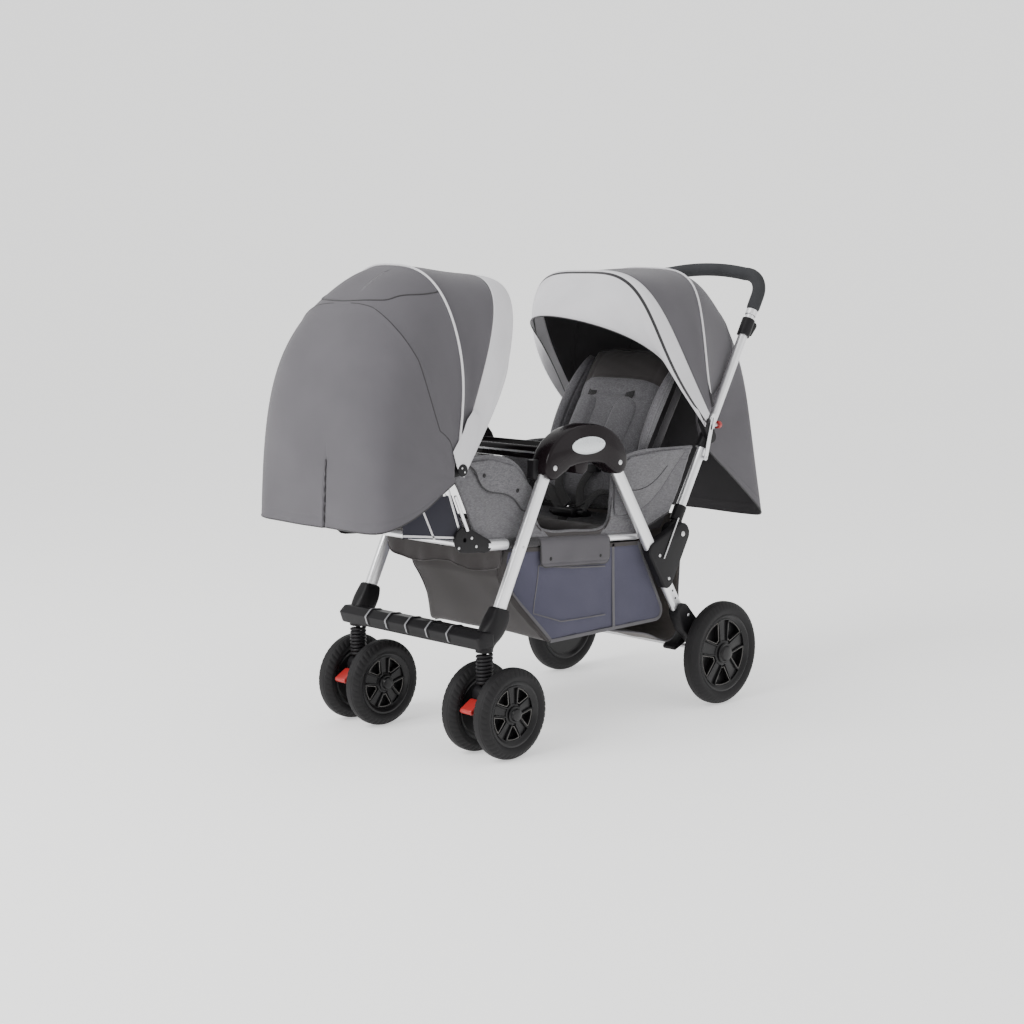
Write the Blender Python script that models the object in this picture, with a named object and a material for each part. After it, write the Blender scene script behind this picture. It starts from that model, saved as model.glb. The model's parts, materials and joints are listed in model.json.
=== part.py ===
"""Double stroller with two seats that face each other, in metres, +Z up.

The casters are at -X, the push handle is at +X, and the stroller's left side is at -Y.
The frame is mirrored about Y = 0. Every piece is one closed solid in its own object, and a
piece that moves has its origin on its joint's axis. Points in the side view are (x, z).
"""

import math

import bmesh
import bpy
import numpy as np
from mathutils import Matrix, Vector

# Wheels
wheelbase = 0.682
front_wheel_radius = 0.095
front_wheel_width = 0.040
front_rim_radius = 0.067
front_wheel_steps = 20
twin_wheel_spacing = 0.094
caster_inset = 0.003
caster_trail = 0.027
rear_wheel_radius = 0.119
rear_wheel_width = 0.040
rear_rim_radius = 0.088
rear_wheel_steps = 24
rear_wheel_clearance = 0.007
front_axle_radius = 0.0045
rear_axle_radius = 0.006
rim_windows = 5

# Legs, hub and mid joint
front_pivot = (-0.188, 0.586)
rear_pivot = (0.015, 0.583)
front_leg_end = (-0.336, 0.287)
rear_leg_end = (0.262, 0.193)
leg_track = 0.406
leg_width = 0.030
leg_thickness = 0.016
leg_edge = 0.0055
bracket_lip = 0.011
pin_radius = 0.0043
hub_wall = 0.016
hub_lobe = 0.0255
hub_rise = 0.0875
hub_edge = 0.007
fold_front = math.radians(28.0)
joint_wall = 0.0045
joint_ear = 0.0255

# Handle
handle_pivot = (0.243, 0.402)
handle_clearance = 0.004
handle_angle = math.radians(60.1)
handle_length = 0.672
handle_tube_radius = 0.011
handle_corner = 0.060
handle_bow = 0.012
grip_radius = 0.0155
knuckle_reach = 0.030
grip_reach = 0.097
trigger_reach = 0.165
trigger_length = 0.042
clamp_start = 0.213
clamp_length = 0.050
sleeve_wall = 0.0045

# Front bumper, casters and suspension
bumper_centre = (-0.382, 0.2465)
bumper_depth = 0.046
bumper_height = 0.037
bumper_overhang = 0.021
bumper_steps = 5
socket_reach = 0.052
socket_wall = 0.006
stem_radius = 0.005
stem_top = 0.258
stem_bottom = 0.135
collar_radius = 0.0165
collar_height = 0.008
spring_radius = 0.0118
spring_wire = 0.0018
spring_turns = 5
fork_top = 0.150
fork_width = 0.042
suspension_travel = 0.012

# Seat frame and backrests
rail_front = (-0.372, 0.438)
rail_rear = (0.146, 0.403)
rail_clearance = 0.011
rail_radius = 0.008
rail_corner = 0.030
seat_pin_x = 0.131
front_stud_x = -0.262
plate_thickness = 0.0055
front_recline_pivot = (-0.412, 0.455)
front_back_angle = math.radians(110.0)
front_back_length = 0.375
front_back_inset = 0.002
rear_recline_pivot = (0.104, 0.4058)
rear_back_angle = math.radians(58.0)
rear_back_length = 0.460
rear_back_inset = 0.026
back_tube_radius = 0.008
back_corner = 0.055

# Soft parts
hood_thickness = 0.0025
pad_thickness = 0.030
pad_crown = 0.010
guard_thickness = 0.005
guard_over_knuckle = 0.050
guard_before_handle = 0.034
basket_wall = 0.0025
basket_overhang = 0.004
footwell_depth = 0.088

# Clearances
gap = 0.0003
running = 0.0004

# Widths that follow the legs' track
leg_inside = leg_track - leg_thickness
handle_track = leg_inside - 2 * (handle_tube_radius + handle_clearance)
rail_track = leg_inside - 2 * (rail_radius + rail_clearance)
front_back_track = rail_track - 2 * front_back_inset
rear_back_track = rail_track - 2 * rear_back_inset
basket_track = rail_track + 2 * basket_overhang
caster_track = leg_track - 2 * caster_inset
rear_track = (leg_track + leg_thickness + 2 * bracket_lip + rear_wheel_width
              + 2 * rear_wheel_clearance)
grip_start = handle_length - grip_reach
trigger_start = handle_length - trigger_reach

side_names = {-1: "left", 1: "right"}
front_axle = (-wheelbase / 2, front_wheel_radius)
rear_axle = (wheelbase / 2, rear_wheel_radius)
caster_x = front_axle[0] - caster_trail
leg_y = leg_track / 2
handle_y = handle_track / 2
rail_y = rail_track / 2
hub_inner = leg_y - leg_thickness / 2 - hub_wall
hub_outer = leg_y + leg_thickness / 2 + hub_wall

bodies = {}


def clear_scene():
    for item in list(bpy.data.objects):
        bpy.data.objects.remove(item, do_unlink=True)


def finish(name, colour, metallic, roughness):
    """A Principled material of one colour."""
    material = bpy.data.materials.new(name)
    material.use_nodes = True
    shader = material.node_tree.nodes["Principled BSDF"]
    shader.inputs["Base Color"].default_value = (*colour, 1.0)
    shader.inputs["Metallic"].default_value = metallic
    shader.inputs["Roughness"].default_value = roughness
    material.diffuse_color = (*colour, 1.0)
    return material


def add_body(name, parent, pivot):
    """An empty on the joint's axis, which the body's pieces are parented to."""
    empty = bpy.data.objects.new(name + "_axis", None)
    bpy.context.scene.collection.objects.link(empty)
    pivot = Vector(pivot)
    if parent:
        empty.parent = bodies[parent][0]
        empty.location = pivot - bodies[parent][1]
    else:
        empty.location = pivot
    bodies[name] = (empty, pivot)


def loose(name, mesh):
    """An object with this mesh, whose place is still in the mesh."""
    item = bpy.data.objects.new(name, mesh)
    bpy.context.scene.collection.objects.link(item)
    return item


def place(item, body, material):
    """Names the piece's material, moves its origin to the joint's axis and parents it."""
    empty, pivot = bodies[body]
    item.data.materials.clear()
    item.data.materials.append(material)
    item.data.transform(Matrix.Translation(-pivot))
    item.parent = empty
    item.location = (0, 0, 0)
    if item.type == "MESH":
        item.data.shade_smooth()
        item.data.set_sharp_from_angle(angle=math.radians(35))
    return item


def mesh_from(name, vertices, faces):
    mesh = bpy.data.meshes.new(name)
    mesh.from_pydata([tuple(map(float, v)) for v in vertices], [], faces)
    return mesh


def closed(bm, name):
    """The bmesh as a mesh with doubles merged and faces pointing out."""
    bmesh.ops.remove_doubles(bm, verts=bm.verts, dist=1e-6)
    bmesh.ops.recalc_face_normals(bm, faces=bm.faces)
    mesh = bpy.data.meshes.new(name)
    bm.to_mesh(mesh)
    bm.free()
    return mesh


def prism(name, outline, y_from, y_to, edge=0.0, segments=1):
    """A side-view outline extruded across the stroller, with both rims rounded."""
    bm = bmesh.new()
    bottom = bm.faces.new([bm.verts.new((x, y_from, z)) for x, z in outline])
    made = bmesh.ops.extrude_face_region(bm, geom=[bottom])["geom"]
    moved = [item for item in made if isinstance(item, bmesh.types.BMVert)]
    bmesh.ops.translate(bm, verts=moved, vec=(0, y_to - y_from, 0))
    if edge:
        rims = [e for e in bm.edges if abs(e.verts[0].co.y - e.verts[1].co.y) < 1e-9]
        bmesh.ops.bevel(bm, geom=rims, offset=edge, segments=segments, profile=0.5,
                        affect="EDGES")
    return loose(name, closed(bm, name))


def box(name, low, high, edge=0.0, segments=2):
    """A box between two corners, with rounded edges."""
    bm = bmesh.new()
    bmesh.ops.create_cube(bm, size=1.0)
    size = Vector(high) - Vector(low)
    bmesh.ops.scale(bm, vec=size, verts=bm.verts)
    bmesh.ops.translate(bm, vec=(Vector(high) + Vector(low)) / 2, verts=bm.verts)
    if edge:
        bmesh.ops.bevel(bm, geom=bm.edges, offset=edge, segments=segments, profile=0.5,
                        affect="EDGES")
    return loose(name, closed(bm, name))


def rod(name, start, end, radius, steps=16):
    """A round bar between two points."""
    start = Vector(start)
    along = Vector(end) - start
    turn = Vector((0, 0, 1)).rotation_difference(along).to_matrix().to_4x4()
    bm = bmesh.new()
    bmesh.ops.create_cone(bm, cap_ends=True, segments=steps, radius1=radius, radius2=radius,
                          depth=along.length)
    bmesh.ops.transform(bm, matrix=Matrix.Translation(start + along / 2) @ turn,
                        verts=bm.verts)
    return loose(name, closed(bm, name))


def turned(name, profile, centre, axis, steps):
    """A closed profile of (radius, height) points, turned about the axis through centre."""
    axis = Vector(axis)
    out = Vector((0, 0, 1)) if abs(axis.z) < 0.5 else Vector((1, 0, 0))
    half_step = Matrix.Rotation(math.pi / steps, 3, axis)
    widen = 1 / math.cos(math.pi / steps)
    bm = bmesh.new()
    corners = [
        bm.verts.new(Vector(centre) + half_step @ out * radius * widen + axis * height)
        for radius, height in profile
    ]
    for i, corner in enumerate(corners):
        bm.edges.new((corner, corners[(i + 1) % len(corners)]))
    bmesh.ops.spin(bm, geom=bm.verts[:] + bm.edges[:], cent=centre, axis=axis,
                   angle=2 * math.pi, steps=steps, use_merge=True)
    bmesh.ops.delete(bm, geom=[f for f in bm.faces if f.calc_area() < 1e-12],
                     context="FACES_ONLY")
    return loose(name, closed(bm, name))


def tube(name, points, radius, resolution=4, cyclic=False):
    """A round tube along the points, as a mesh."""
    curve = bpy.data.curves.new(name, "CURVE")
    curve.dimensions = "3D"
    curve.bevel_depth = radius
    curve.bevel_resolution = resolution
    curve.use_fill_caps = not cyclic
    spline = curve.splines.new("POLY")
    spline.points.add(len(points) - 1)
    for point, spot in zip(spline.points, points):
        point.co = (*spot, 1.0)
    spline.use_cyclic_u = cyclic
    guide = bpy.data.objects.new(name, curve)
    bm = bmesh.new()
    bm.from_mesh(bpy.data.meshes.new_from_object(guide))
    bpy.data.objects.remove(guide)
    return loose(name, closed(bm, name))


def combine(target, tools, operation):
    """Joins the tools to the target, or cuts them out of it."""
    for tool in tools:
        modifier = target.modifiers.new(operation.title(), "BOOLEAN")
        modifier.operation = operation
        modifier.object = tool
    bpy.context.view_layer.update()
    graph = bpy.context.evaluated_depsgraph_get()
    target.data = bpy.data.meshes.new_from_object(target.evaluated_get(graph))
    target.modifiers.clear()
    for tool in tools:
        bpy.data.objects.remove(tool, do_unlink=True)
    return target


def circle(centre, radius, steps=14):
    """Points round a circle in the side view."""
    turn = 2 * math.pi / steps
    return [
        (centre[0] + radius * math.cos(turn * (i + 0.5)),
         centre[1] + radius * math.sin(turn * (i + 0.5)))
        for i in range(steps)
    ]


def hole(centre, radius, steps=12):
    """The outline of a bore that a round pin of this radius fits in."""
    return circle(centre, radius / math.cos(math.pi / steps), steps)


def hull(circles, steps=14):
    """The tight outline round several circles, each given as (centre, radius)."""
    points = sorted({p for centre, radius in circles for p in circle(centre, radius, steps)})

    def chain(ordered):
        kept = []
        for x, z in ordered:
            while len(kept) > 1:
                (ax, az), (bx, bz) = kept[-2:]
                if (bx - ax) * (z - az) - (bz - az) * (x - ax) > 1e-12:
                    break
                kept.pop()
            kept.append((x, z))
        return kept[:-1]

    return chain(points) + chain(points[::-1])


def between(a, b, share):
    return (a[0] + (b[0] - a[0]) * share, a[1] + (b[1] - a[1]) * share)


def direction(a, b):
    length = math.hypot(b[0] - a[0], b[1] - a[1])
    return ((b[0] - a[0]) / length, (b[1] - a[1]) / length)


def along(start, angle, distance):
    """The point this far from the start, at this angle in the side view."""
    return (start[0] + distance * math.cos(angle), start[1] + distance * math.sin(angle))


def turned_about(point, pivot, angle):
    """The point turned about the pivot, from +x towards +z."""
    x, z = point[0] - pivot[0], point[1] - pivot[1]
    c, s = math.cos(angle), math.sin(angle)
    return (pivot[0] + c * x - s * z, pivot[1] + s * x + c * z)


def rounded_path(corners, radius, steps=4):
    """The corner points with each inner one replaced by an arc."""
    corners = [Vector(c) for c in corners]
    path = [corners[0]]
    for before, corner, after in zip(corners, corners[1:], corners[2:]):
        into = (before - corner).normalized()
        onward = (after - corner).normalized()
        half = into.angle(onward) / 2
        reach = radius / math.tan(half)
        centre = corner + (into + onward).normalized() * radius / math.sin(half)
        first = corner + into * reach - centre
        last = corner + onward * reach - centre
        path += [
            centre + first.normalized().slerp(last.normalized(), i / steps) * radius
            for i in range(steps + 1)
        ]
    return path + [corners[-1]]


def spline_weights(knots, samples):
    """The matrix that turns values at the knots into a natural cubic spline's values."""
    count = len(knots)
    step = np.diff(knots)
    system = np.eye(count)
    change = np.zeros((count, count))
    for i in range(1, count - 1):
        system[i, i - 1:i + 2] = (step[i - 1], 2 * (step[i - 1] + step[i]), step[i])
        change[i, i - 1:i + 2] = (6 / step[i - 1], -6 / step[i - 1] - 6 / step[i],
                                  6 / step[i])
    bend = np.linalg.solve(system, change)
    spot = np.clip(np.searchsorted(knots, samples) - 1, 0, count - 2)
    b = ((samples - knots[spot]) / step[spot])[:, None]
    a = 1 - b
    unit = np.eye(count)
    curved = (a ** 3 - a) * bend[spot] + (b ** 3 - b) * bend[spot + 1]
    return a * unit[spot] + b * unit[spot + 1] + curved * step[spot, None] ** 2 / 6


def smooth_line(points, count):
    """A smooth curve through the points, sampled evenly along its length."""
    points = np.array(points, float)
    knots = np.r_[0, np.cumsum(np.linalg.norm(np.diff(points, axis=0), axis=1))]
    fine = spline_weights(knots, np.linspace(0, knots[-1], 200)) @ points
    run = np.r_[0, np.cumsum(np.linalg.norm(np.diff(fine, axis=0), axis=1))]
    even = np.linspace(0, run[-1], count)
    return np.stack([np.interp(even, run, fine[:, k]) for k in range(fine.shape[1])], 1)


def grid_faces(rows, columns):
    return [
        (i * columns + j, i * columns + j + 1, (i + 1) * columns + j + 1, (i + 1) * columns + j)
        for i in range(rows - 1)
        for j in range(columns - 1)
    ]


def sheet(name, grid, thickness):
    """A grid of points as a sheet, thickened inwards from its outer face."""
    rows, columns, _ = grid.shape
    mesh = mesh_from(name, grid.reshape(-1, 3), grid_faces(rows, columns))
    item = loose(name, mesh)
    wall = item.modifiers.new("Thickness", "SOLIDIFY")
    wall.thickness = thickness
    wall.offset = -1.0
    return item


def pillow(name, front, back):
    """Two grids of points with the same rim, joined as one closed form."""
    rows, columns, _ = front.shape
    faces = grid_faces(rows, columns)
    count = rows * columns
    rim = (
        [j for j in range(columns)]
        + [i * columns + columns - 1 for i in range(1, rows)]
        + [(rows - 1) * columns + j for j in range(columns - 2, -1, -1)]
        + [i * columns for i in range(rows - 2, 0, -1)]
    )
    sides = [
        (a, b, b + count, a + count) for a, b in zip(rim, rim[1:] + rim[:1])
    ]
    faces += [tuple(count + v for v in face[::-1]) for face in grid_faces(rows, columns)]
    faces += [side[::-1] for side in sides]
    bm = bmesh.new()
    bm.from_mesh(mesh_from(name, np.r_[front.reshape(-1, 3), back.reshape(-1, 3)], faces))
    return loose(name, closed(bm, name))


# Frame


def leg(name, pivot, end, y):
    """A flat oval leg tube with round ends, bored for its hub rivet."""
    outline = hull([(pivot, leg_width / 2), (end, leg_width / 2)])
    item = prism(name, outline, y - leg_thickness / 2, y + leg_thickness / 2, leg_edge, 2)
    bore = prism("bore", hole(pivot, pin_radius + gap), y - 0.02, y + 0.02)
    return combine(item, [bore], "DIFFERENCE")


def hub_outline():
    """An arch over the two leg rivets, with a round lobe at each and a hollow between."""
    middle = (front_pivot[0] + rear_pivot[0]) / 2
    base = (front_pivot[1] + rear_pivot[1]) / 2
    reach = (rear_pivot[0] - front_pivot[0]) / 2
    outer = reach + hub_lobe
    points = []
    for i in range(15):
        angle = math.pi * i / 14
        points.append((middle + outer * math.cos(angle), base + hub_rise * math.sin(angle)))
    for i in range(1, 6):
        angle = math.radians(180 + 26 * i)
        points.append(along(front_pivot, angle, hub_lobe))
    for i in range(7):
        angle = math.pi * (1 - i / 6)
        points.append((middle + 0.62 * reach * math.cos(angle),
                       base - 0.008 + 0.013 * math.sin(angle)))
    for i in range(1, 6):
        angle = math.radians(360 - 26 * (6 - i))
        points.append(along(rear_pivot, angle, hub_lobe))
    return points


def hub(side):
    """A moulded arch that holds both legs in slots on rivets, and a lug for the tray."""
    name = "hub_" + side_names[side]
    y_inner, y_outer = side * hub_inner, side * hub_outer
    item = prism(name, hub_outline(), y_inner, y_outer, hub_edge, 2)
    slot_radius = leg_width / 2 + 2 * running
    slot_half = leg_thickness / 2 + running
    y = side * leg_y
    cutters = []
    for pivot, end, swing in (
        (front_pivot, front_leg_end, fold_front),
        (rear_pivot, rear_leg_end, 0.0),
    ):
        far = along(pivot, math.atan2(end[1] - pivot[1], end[0] - pivot[0]), 0.07)
        swept = turned_about(far, pivot, swing)
        outline = hull([(pivot, slot_radius), (far, slot_radius), (swept, slot_radius)])
        cutters.append(prism("slot", outline, y - slot_half, y + slot_half))
    combine(item, cutters, "DIFFERENCE")
    pins = [
        prism("pin", circle(pivot, pin_radius, 12), y - slot_half - 0.004, y + slot_half + 0.004)
        for pivot in (front_pivot, rear_pivot)
    ]
    return combine(item, pins, "UNION")


def center_tray():
    """A shallow tray with a raised rim between the two hubs."""
    middle = (front_pivot[0] + rear_pivot[0]) / 2
    low, high = 0.592, 0.620
    half_depth = 0.047
    end = hub_inner - gap
    item = box("center_tray", (middle - half_depth, -end, low), (middle + half_depth, end, high),
               0.005)
    rim = 0.007
    floor = 0.014
    dish = box("dish", (middle - half_depth + rim, -end + 0.022, low + floor),
               (middle + half_depth - rim, end - 0.022, high + 0.02), 0.006)
    return combine(item, [dish], "DIFFERENCE")


def mid_joint(side):
    """A sleeve round the rear leg with an ear that carries the handle's knuckle on a pin."""
    name = "mid_joint_" + side_names[side]
    top = between(rear_pivot, rear_leg_end, 0.54)
    bottom = between(rear_pivot, rear_leg_end, 0.72)
    sleeve = leg_width / 2 + joint_wall
    inner = handle_y + handle_tube_radius + 0.0006
    outer = leg_y + leg_thickness / 2 + joint_wall
    outline = hull([(top, sleeve), (bottom, sleeve), (handle_pivot, joint_ear)])
    item = prism(name, outline, side * inner, side * outer, 0.003)
    y = side * leg_y
    half = leg_thickness / 2 + gap
    channel = prism(
        "channel",
        hull([(between(rear_pivot, rear_leg_end, 0.3), leg_width / 2 + gap),
              (rear_leg_end, leg_width / 2 + gap)]),
        y - half, y + half, leg_edge, 2,
    )
    combine(item, [channel], "DIFFERENCE")
    pin = prism("pin", circle(handle_pivot, pin_radius, 12), side * (handle_y - 0.0145),
                side * (inner + 0.003))
    return combine(item, [pin], "UNION")


def rear_bracket(side):
    """A moulded foot that clasps the rear leg's end and carries the axle."""
    name = "rear_bracket_" + side_names[side]
    inner = leg_y - leg_thickness / 2 - 0.005
    outer = leg_y + leg_thickness / 2 + bracket_lip
    up = between(rear_leg_end, rear_pivot, 0.075)
    outline = hull([(up, 0.0205), (rear_leg_end, 0.023), (rear_axle, 0.021)])
    item = prism(name, outline, side * inner, side * outer, 0.003)
    y = side * leg_y
    half = leg_thickness / 2 + gap
    channel = prism(
        "channel",
        hull([(between(rear_leg_end, rear_pivot, 0.3), leg_width / 2 + gap),
              (rear_leg_end, leg_width / 2 + gap)]),
        y - half, y + half, leg_edge, 2,
    )
    bore = prism("bore", hole(rear_axle, rear_axle_radius + gap), side * (inner - 0.01),
                 side * (outer + 0.01))
    pocket = prism("pocket", hole(brake_axis, brake_shaft_radius + gap),
                   side * (inner - 0.01), side * (inner + 0.006))
    return combine(item, [channel, bore, pocket], "DIFFERENCE")


brake_axis = (0.300, 0.152)
brake_shaft_radius = 0.005
brake_pedal_reach = 0.046


def brake_bar():
    """A shaft between the rear brackets with a foot pedal near each wheel."""
    bracket_inner = leg_y - leg_thickness / 2 - 0.005
    end = bracket_inner + 0.005
    item = rod("brake_bar", (brake_axis[0], -end, brake_axis[1]),
               (brake_axis[0], end, brake_axis[1]), brake_shaft_radius, 12)
    tip = along(brake_axis, math.radians(205), brake_pedal_reach)
    pedals = [
        prism("pedal", hull([(brake_axis, 0.0085), (tip, 0.006)], 12),
              side * (bracket_inner - 0.040), side * (bracket_inner - 0.004), 0.002)
        for side in (-1, 1)
    ]
    return combine(item, pedals, "UNION")


def rim_profile(radius, bore, hub_radius, width, web):
    """A turned rim: a bored hub, a thin web and a channel that holds the tyre."""
    return [
        (bore, -width / 2),
        (hub_radius, -width / 2),
        (radius - 0.009, -web / 2),
        (radius, -width * 0.36),
        (radius, width * 0.36),
        (radius - 0.009, web / 2),
        (hub_radius, width / 2),
        (bore, width / 2),
    ]


def tyre_profile(inner, outer, width):
    """A tyre with a flat tread, round shoulders and sides that seat on the rim."""
    return [
        (inner, -width * 0.36),
        (outer - 0.012, -width / 2),
        (outer, -width * 0.27),
        (outer, width * 0.27),
        (outer - 0.012, width / 2),
        (inner, width * 0.36),
    ]


def window_outline(centre, inner, outer, turn, spread):
    """A sector with straight sides that leaves a spoke of even width at each side."""
    points = []
    for radius, width, steps in ((inner, spread * 0.62, 1), (outer, spread, 3)):
        spots = [turn + width * (2 * i / steps - 1) for i in range(steps + 1)]
        points.append([along(centre, angle, radius) for angle in spots])
    return points[0] + points[1][::-1]


def wheel(prefix, suffix, axle, y, radius, width, rim_radius, bore, steps, body):
    """A tyre on a rim with a ring of windows between its spokes."""
    centre = (axle[0], y, axle[1])
    tyre = turned(prefix + "_tyre_" + suffix, tyre_profile(rim_radius + gap, radius, width),
                  centre, (0, 1, 0), steps)
    place(tyre, body, finishes["tyre"])
    hub_radius = rim_radius * 0.27
    rim = turned(prefix + "_rim_" + suffix,
                 rim_profile(rim_radius, bore, hub_radius, width, 0.010), centre, (0, 1, 0), steps)
    share = 2 * math.pi / rim_windows
    cutters = [
        prism("window", window_outline(axle, hub_radius + 0.008, rim_radius - 0.012,
                                       share * (k + 0.5), share * 0.36),
              y - width, y + width)
        for k in range(rim_windows)
    ]
    place(combine(rim, cutters, "DIFFERENCE"), body, finishes["rim"])


# Handle


def handle_path(start):
    """The handle's line in its own plane, from one side over the top bar to the other."""
    reach = handle_length - handle_corner
    across = handle_y - handle_corner
    flat = [(start, -handle_y)]
    for i in range(6):
        angle = math.radians(90) * i / 5
        flat.append((reach + handle_corner * math.sin(angle),
                     -across - handle_corner * math.cos(angle)))
    for i in range(1, 6):
        y = across * (i / 3 - 1)
        flat.append((handle_length + handle_bow * (1 - (y / across) ** 2), y))
    for i in range(6):
        angle = math.radians(90) * (1 - i / 5)
        flat.append((reach + handle_corner * math.sin(angle),
                     across + handle_corner * math.cos(angle)))
    flat.append((start, handle_y))
    return [
        (*along(handle_pivot, handle_angle, s)[:1], y, along(handle_pivot, handle_angle, s)[1])
        for s, y in flat
    ]


def on_handle(distance, y):
    """The 3-D point on a handle side tube, this far from the fold pivot."""
    x, z = along(handle_pivot, handle_angle, distance)
    return (x, y, z)


def handle_grip():
    """Foam over the top of the handle tube."""
    item = tube("handle_grip", handle_path(grip_start), grip_radius, 3)
    bore = tube("bore", handle_path(grip_start - 0.02), handle_tube_radius + 2 * running, 4)
    return combine(item, [bore], "DIFFERENCE")


def handle_knuckle(side):
    """A disc on the fold pin with a socket for the handle tube."""
    name = "handle_knuckle_" + side_names[side]
    y = side * handle_y
    half = handle_tube_radius - 0.0002
    disc = prism(name, circle(handle_pivot, 0.0245, 20), y - half, y + half, 0.002)
    neck = rod("neck", on_handle(0.015, y), on_handle(knuckle_reach + 0.002, y), half, 16)
    socket = rod("socket", on_handle(knuckle_reach, y), on_handle(0.066, y),
                 handle_tube_radius + 0.0035, 16)
    combine(disc, [neck, socket], "UNION")
    bore = rod("bore", on_handle(knuckle_reach + 0.0025, y), on_handle(0.09, y),
               handle_tube_radius + running, 24)
    pin_hole = prism("pin", hole(handle_pivot, pin_radius + gap), y - 0.03, y + 0.03)
    return combine(disc, [bore, pin_hole], "DIFFERENCE")


def canopy_clamp(side):
    """A clamp on the handle tube with a lug that the rear hood's hoops turn on."""
    name = "canopy_clamp_" + side_names[side]
    y = side * handle_y
    item = rod(name, on_handle(clamp_start, y), on_handle(clamp_start + clamp_length, y),
               handle_tube_radius + sleeve_wall, 20)
    middle = along(handle_pivot, handle_angle, clamp_start + clamp_length * 0.6)
    lug_inner, lug_outer = side * (handle_y + 0.004), side * hood_seat
    lug = prism("lug", hull([(middle, 0.014), (rear_hood_foot, 0.014)]), lug_inner, lug_outer,
                0.002)
    combine(item, [lug], "UNION")
    bore = rod("bore", on_handle(clamp_start - 0.03, y),
               on_handle(clamp_start + clamp_length + 0.03, y), handle_tube_radius + running, 24)
    return combine(item, [bore], "DIFFERENCE")


def trigger(side):
    """A collar that slides up the handle tube, with a finger hook at the back."""
    name = "trigger_" + side_names[side]
    y = side * handle_y
    start, end = trigger_start, trigger_start + trigger_length
    item = rod(name, on_handle(start, y), on_handle(end, y), handle_tube_radius + sleeve_wall, 20)
    back = handle_angle - math.radians(90)
    low = along(along(handle_pivot, handle_angle, start + 0.012), back, 0.016)
    high = along(along(handle_pivot, handle_angle, end - 0.006), back, 0.019)
    hook = prism("hook", hull([(low, 0.005), (high, 0.008)], 12), y - 0.009, y + 0.009, 0.002)
    combine(item, [hook], "UNION")
    bore = rod("bore", on_handle(start - 0.03, y), on_handle(end + 0.03, y),
               handle_tube_radius + running, 24)
    return combine(item, [bore], "DIFFERENCE")


def safety_latch():
    """A slotted strip outside the left clamp that swings off its button on a short boss."""
    y_near = -(hood_seat + gap)
    y_far = y_near - 0.002
    low = along(handle_pivot, handle_angle, latch_pivot_at)
    high = along(low, latch_angle, latch_length)
    strip = prism("safety_latch", hull([(low, 0.006), (high, 0.006)], 12), y_far, y_near)
    boss = prism("boss", circle(low, 0.005, 12), y_near - 0.001,
                 -(handle_y + handle_tube_radius + gap))
    combine(strip, [boss], "UNION")
    slot = prism("slot", hull([(along(low, latch_angle, latch_length - 0.030), 0.0028),
                               (along(low, latch_angle, latch_length - 0.006), 0.0028)], 12),
                 y_far - 0.01, y_near + 0.01)
    return combine(strip, [slot], "DIFFERENCE")


latch_pivot_at = 0.190
latch_angle = math.radians(75)
latch_length = 0.098

# Front end


def front_bumper():
    """The footrest bar between the casters, stepped on top, with a socket for each leg."""
    x, z = bumper_centre
    end = leg_y + leg_thickness / 2 + 0.006 + bumper_overhang / 2
    item = box("front_bumper", (x - bumper_depth / 2, -end, z - bumper_height / 2),
               (x + bumper_depth / 2, end, z + bumper_height / 2), 0.006)
    added, removed = [], []
    up = direction(front_leg_end, front_pivot)
    for side in (-1, 1):
        y = side * leg_y
        top = (front_leg_end[0] + up[0] * socket_reach * 0.5,
               front_leg_end[1] + up[1] * socket_reach * 0.5)
        wall = leg_width / 2 + socket_wall
        foot = (x + 0.006, z + 0.002)
        half = leg_thickness / 2 + 0.006
        added.append(prism("socket", hull([(top, wall), (foot, wall * 0.9)]), y - half, y + half,
                           0.003))
        inner = leg_thickness / 2 + gap
        removed.append(prism(
            "channel",
            hull([(front_leg_end, leg_width / 2 + gap),
                  (between(front_leg_end, front_pivot, 0.4), leg_width / 2 + gap)]),
            y - inner, y + inner, leg_edge, 2,
        ))
        removed.append(rod("bore", (caster_x, side * caster_track / 2, z - 0.05),
                           (caster_x, side * caster_track / 2, stem_top + gap),
                           stem_radius + running, 16))
    span = 2 * (leg_y - leg_thickness / 2 - 0.030)
    for k in range(bumper_steps):
        middle = span * ((k + 0.5) / bumper_steps - 0.5)
        added.append(box("step", (x - bumper_depth * 0.40, middle - span * 0.062,
                                  z + bumper_height / 2 - 0.004),
                         (x + bumper_depth * 0.40, middle + span * 0.062,
                          z + bumper_height / 2 + 0.004)))
    combine(item, added, "UNION")
    return combine(item, removed, "DIFFERENCE")


def caster_stem(side):
    """The swivel pin with the collar that the spring pushes on."""
    floor = bumper_centre[1] - bumper_height / 2
    y = side * caster_track / 2
    item = rod("caster_stem_" + side_names[side], (caster_x, y, stem_bottom),
               (caster_x, y, stem_top), stem_radius, 16)
    collar = rod("collar", (caster_x, y, floor - gap - collar_height), (caster_x, y, floor - gap),
                 collar_radius, 20)
    return combine(item, [collar], "UNION")


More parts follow.
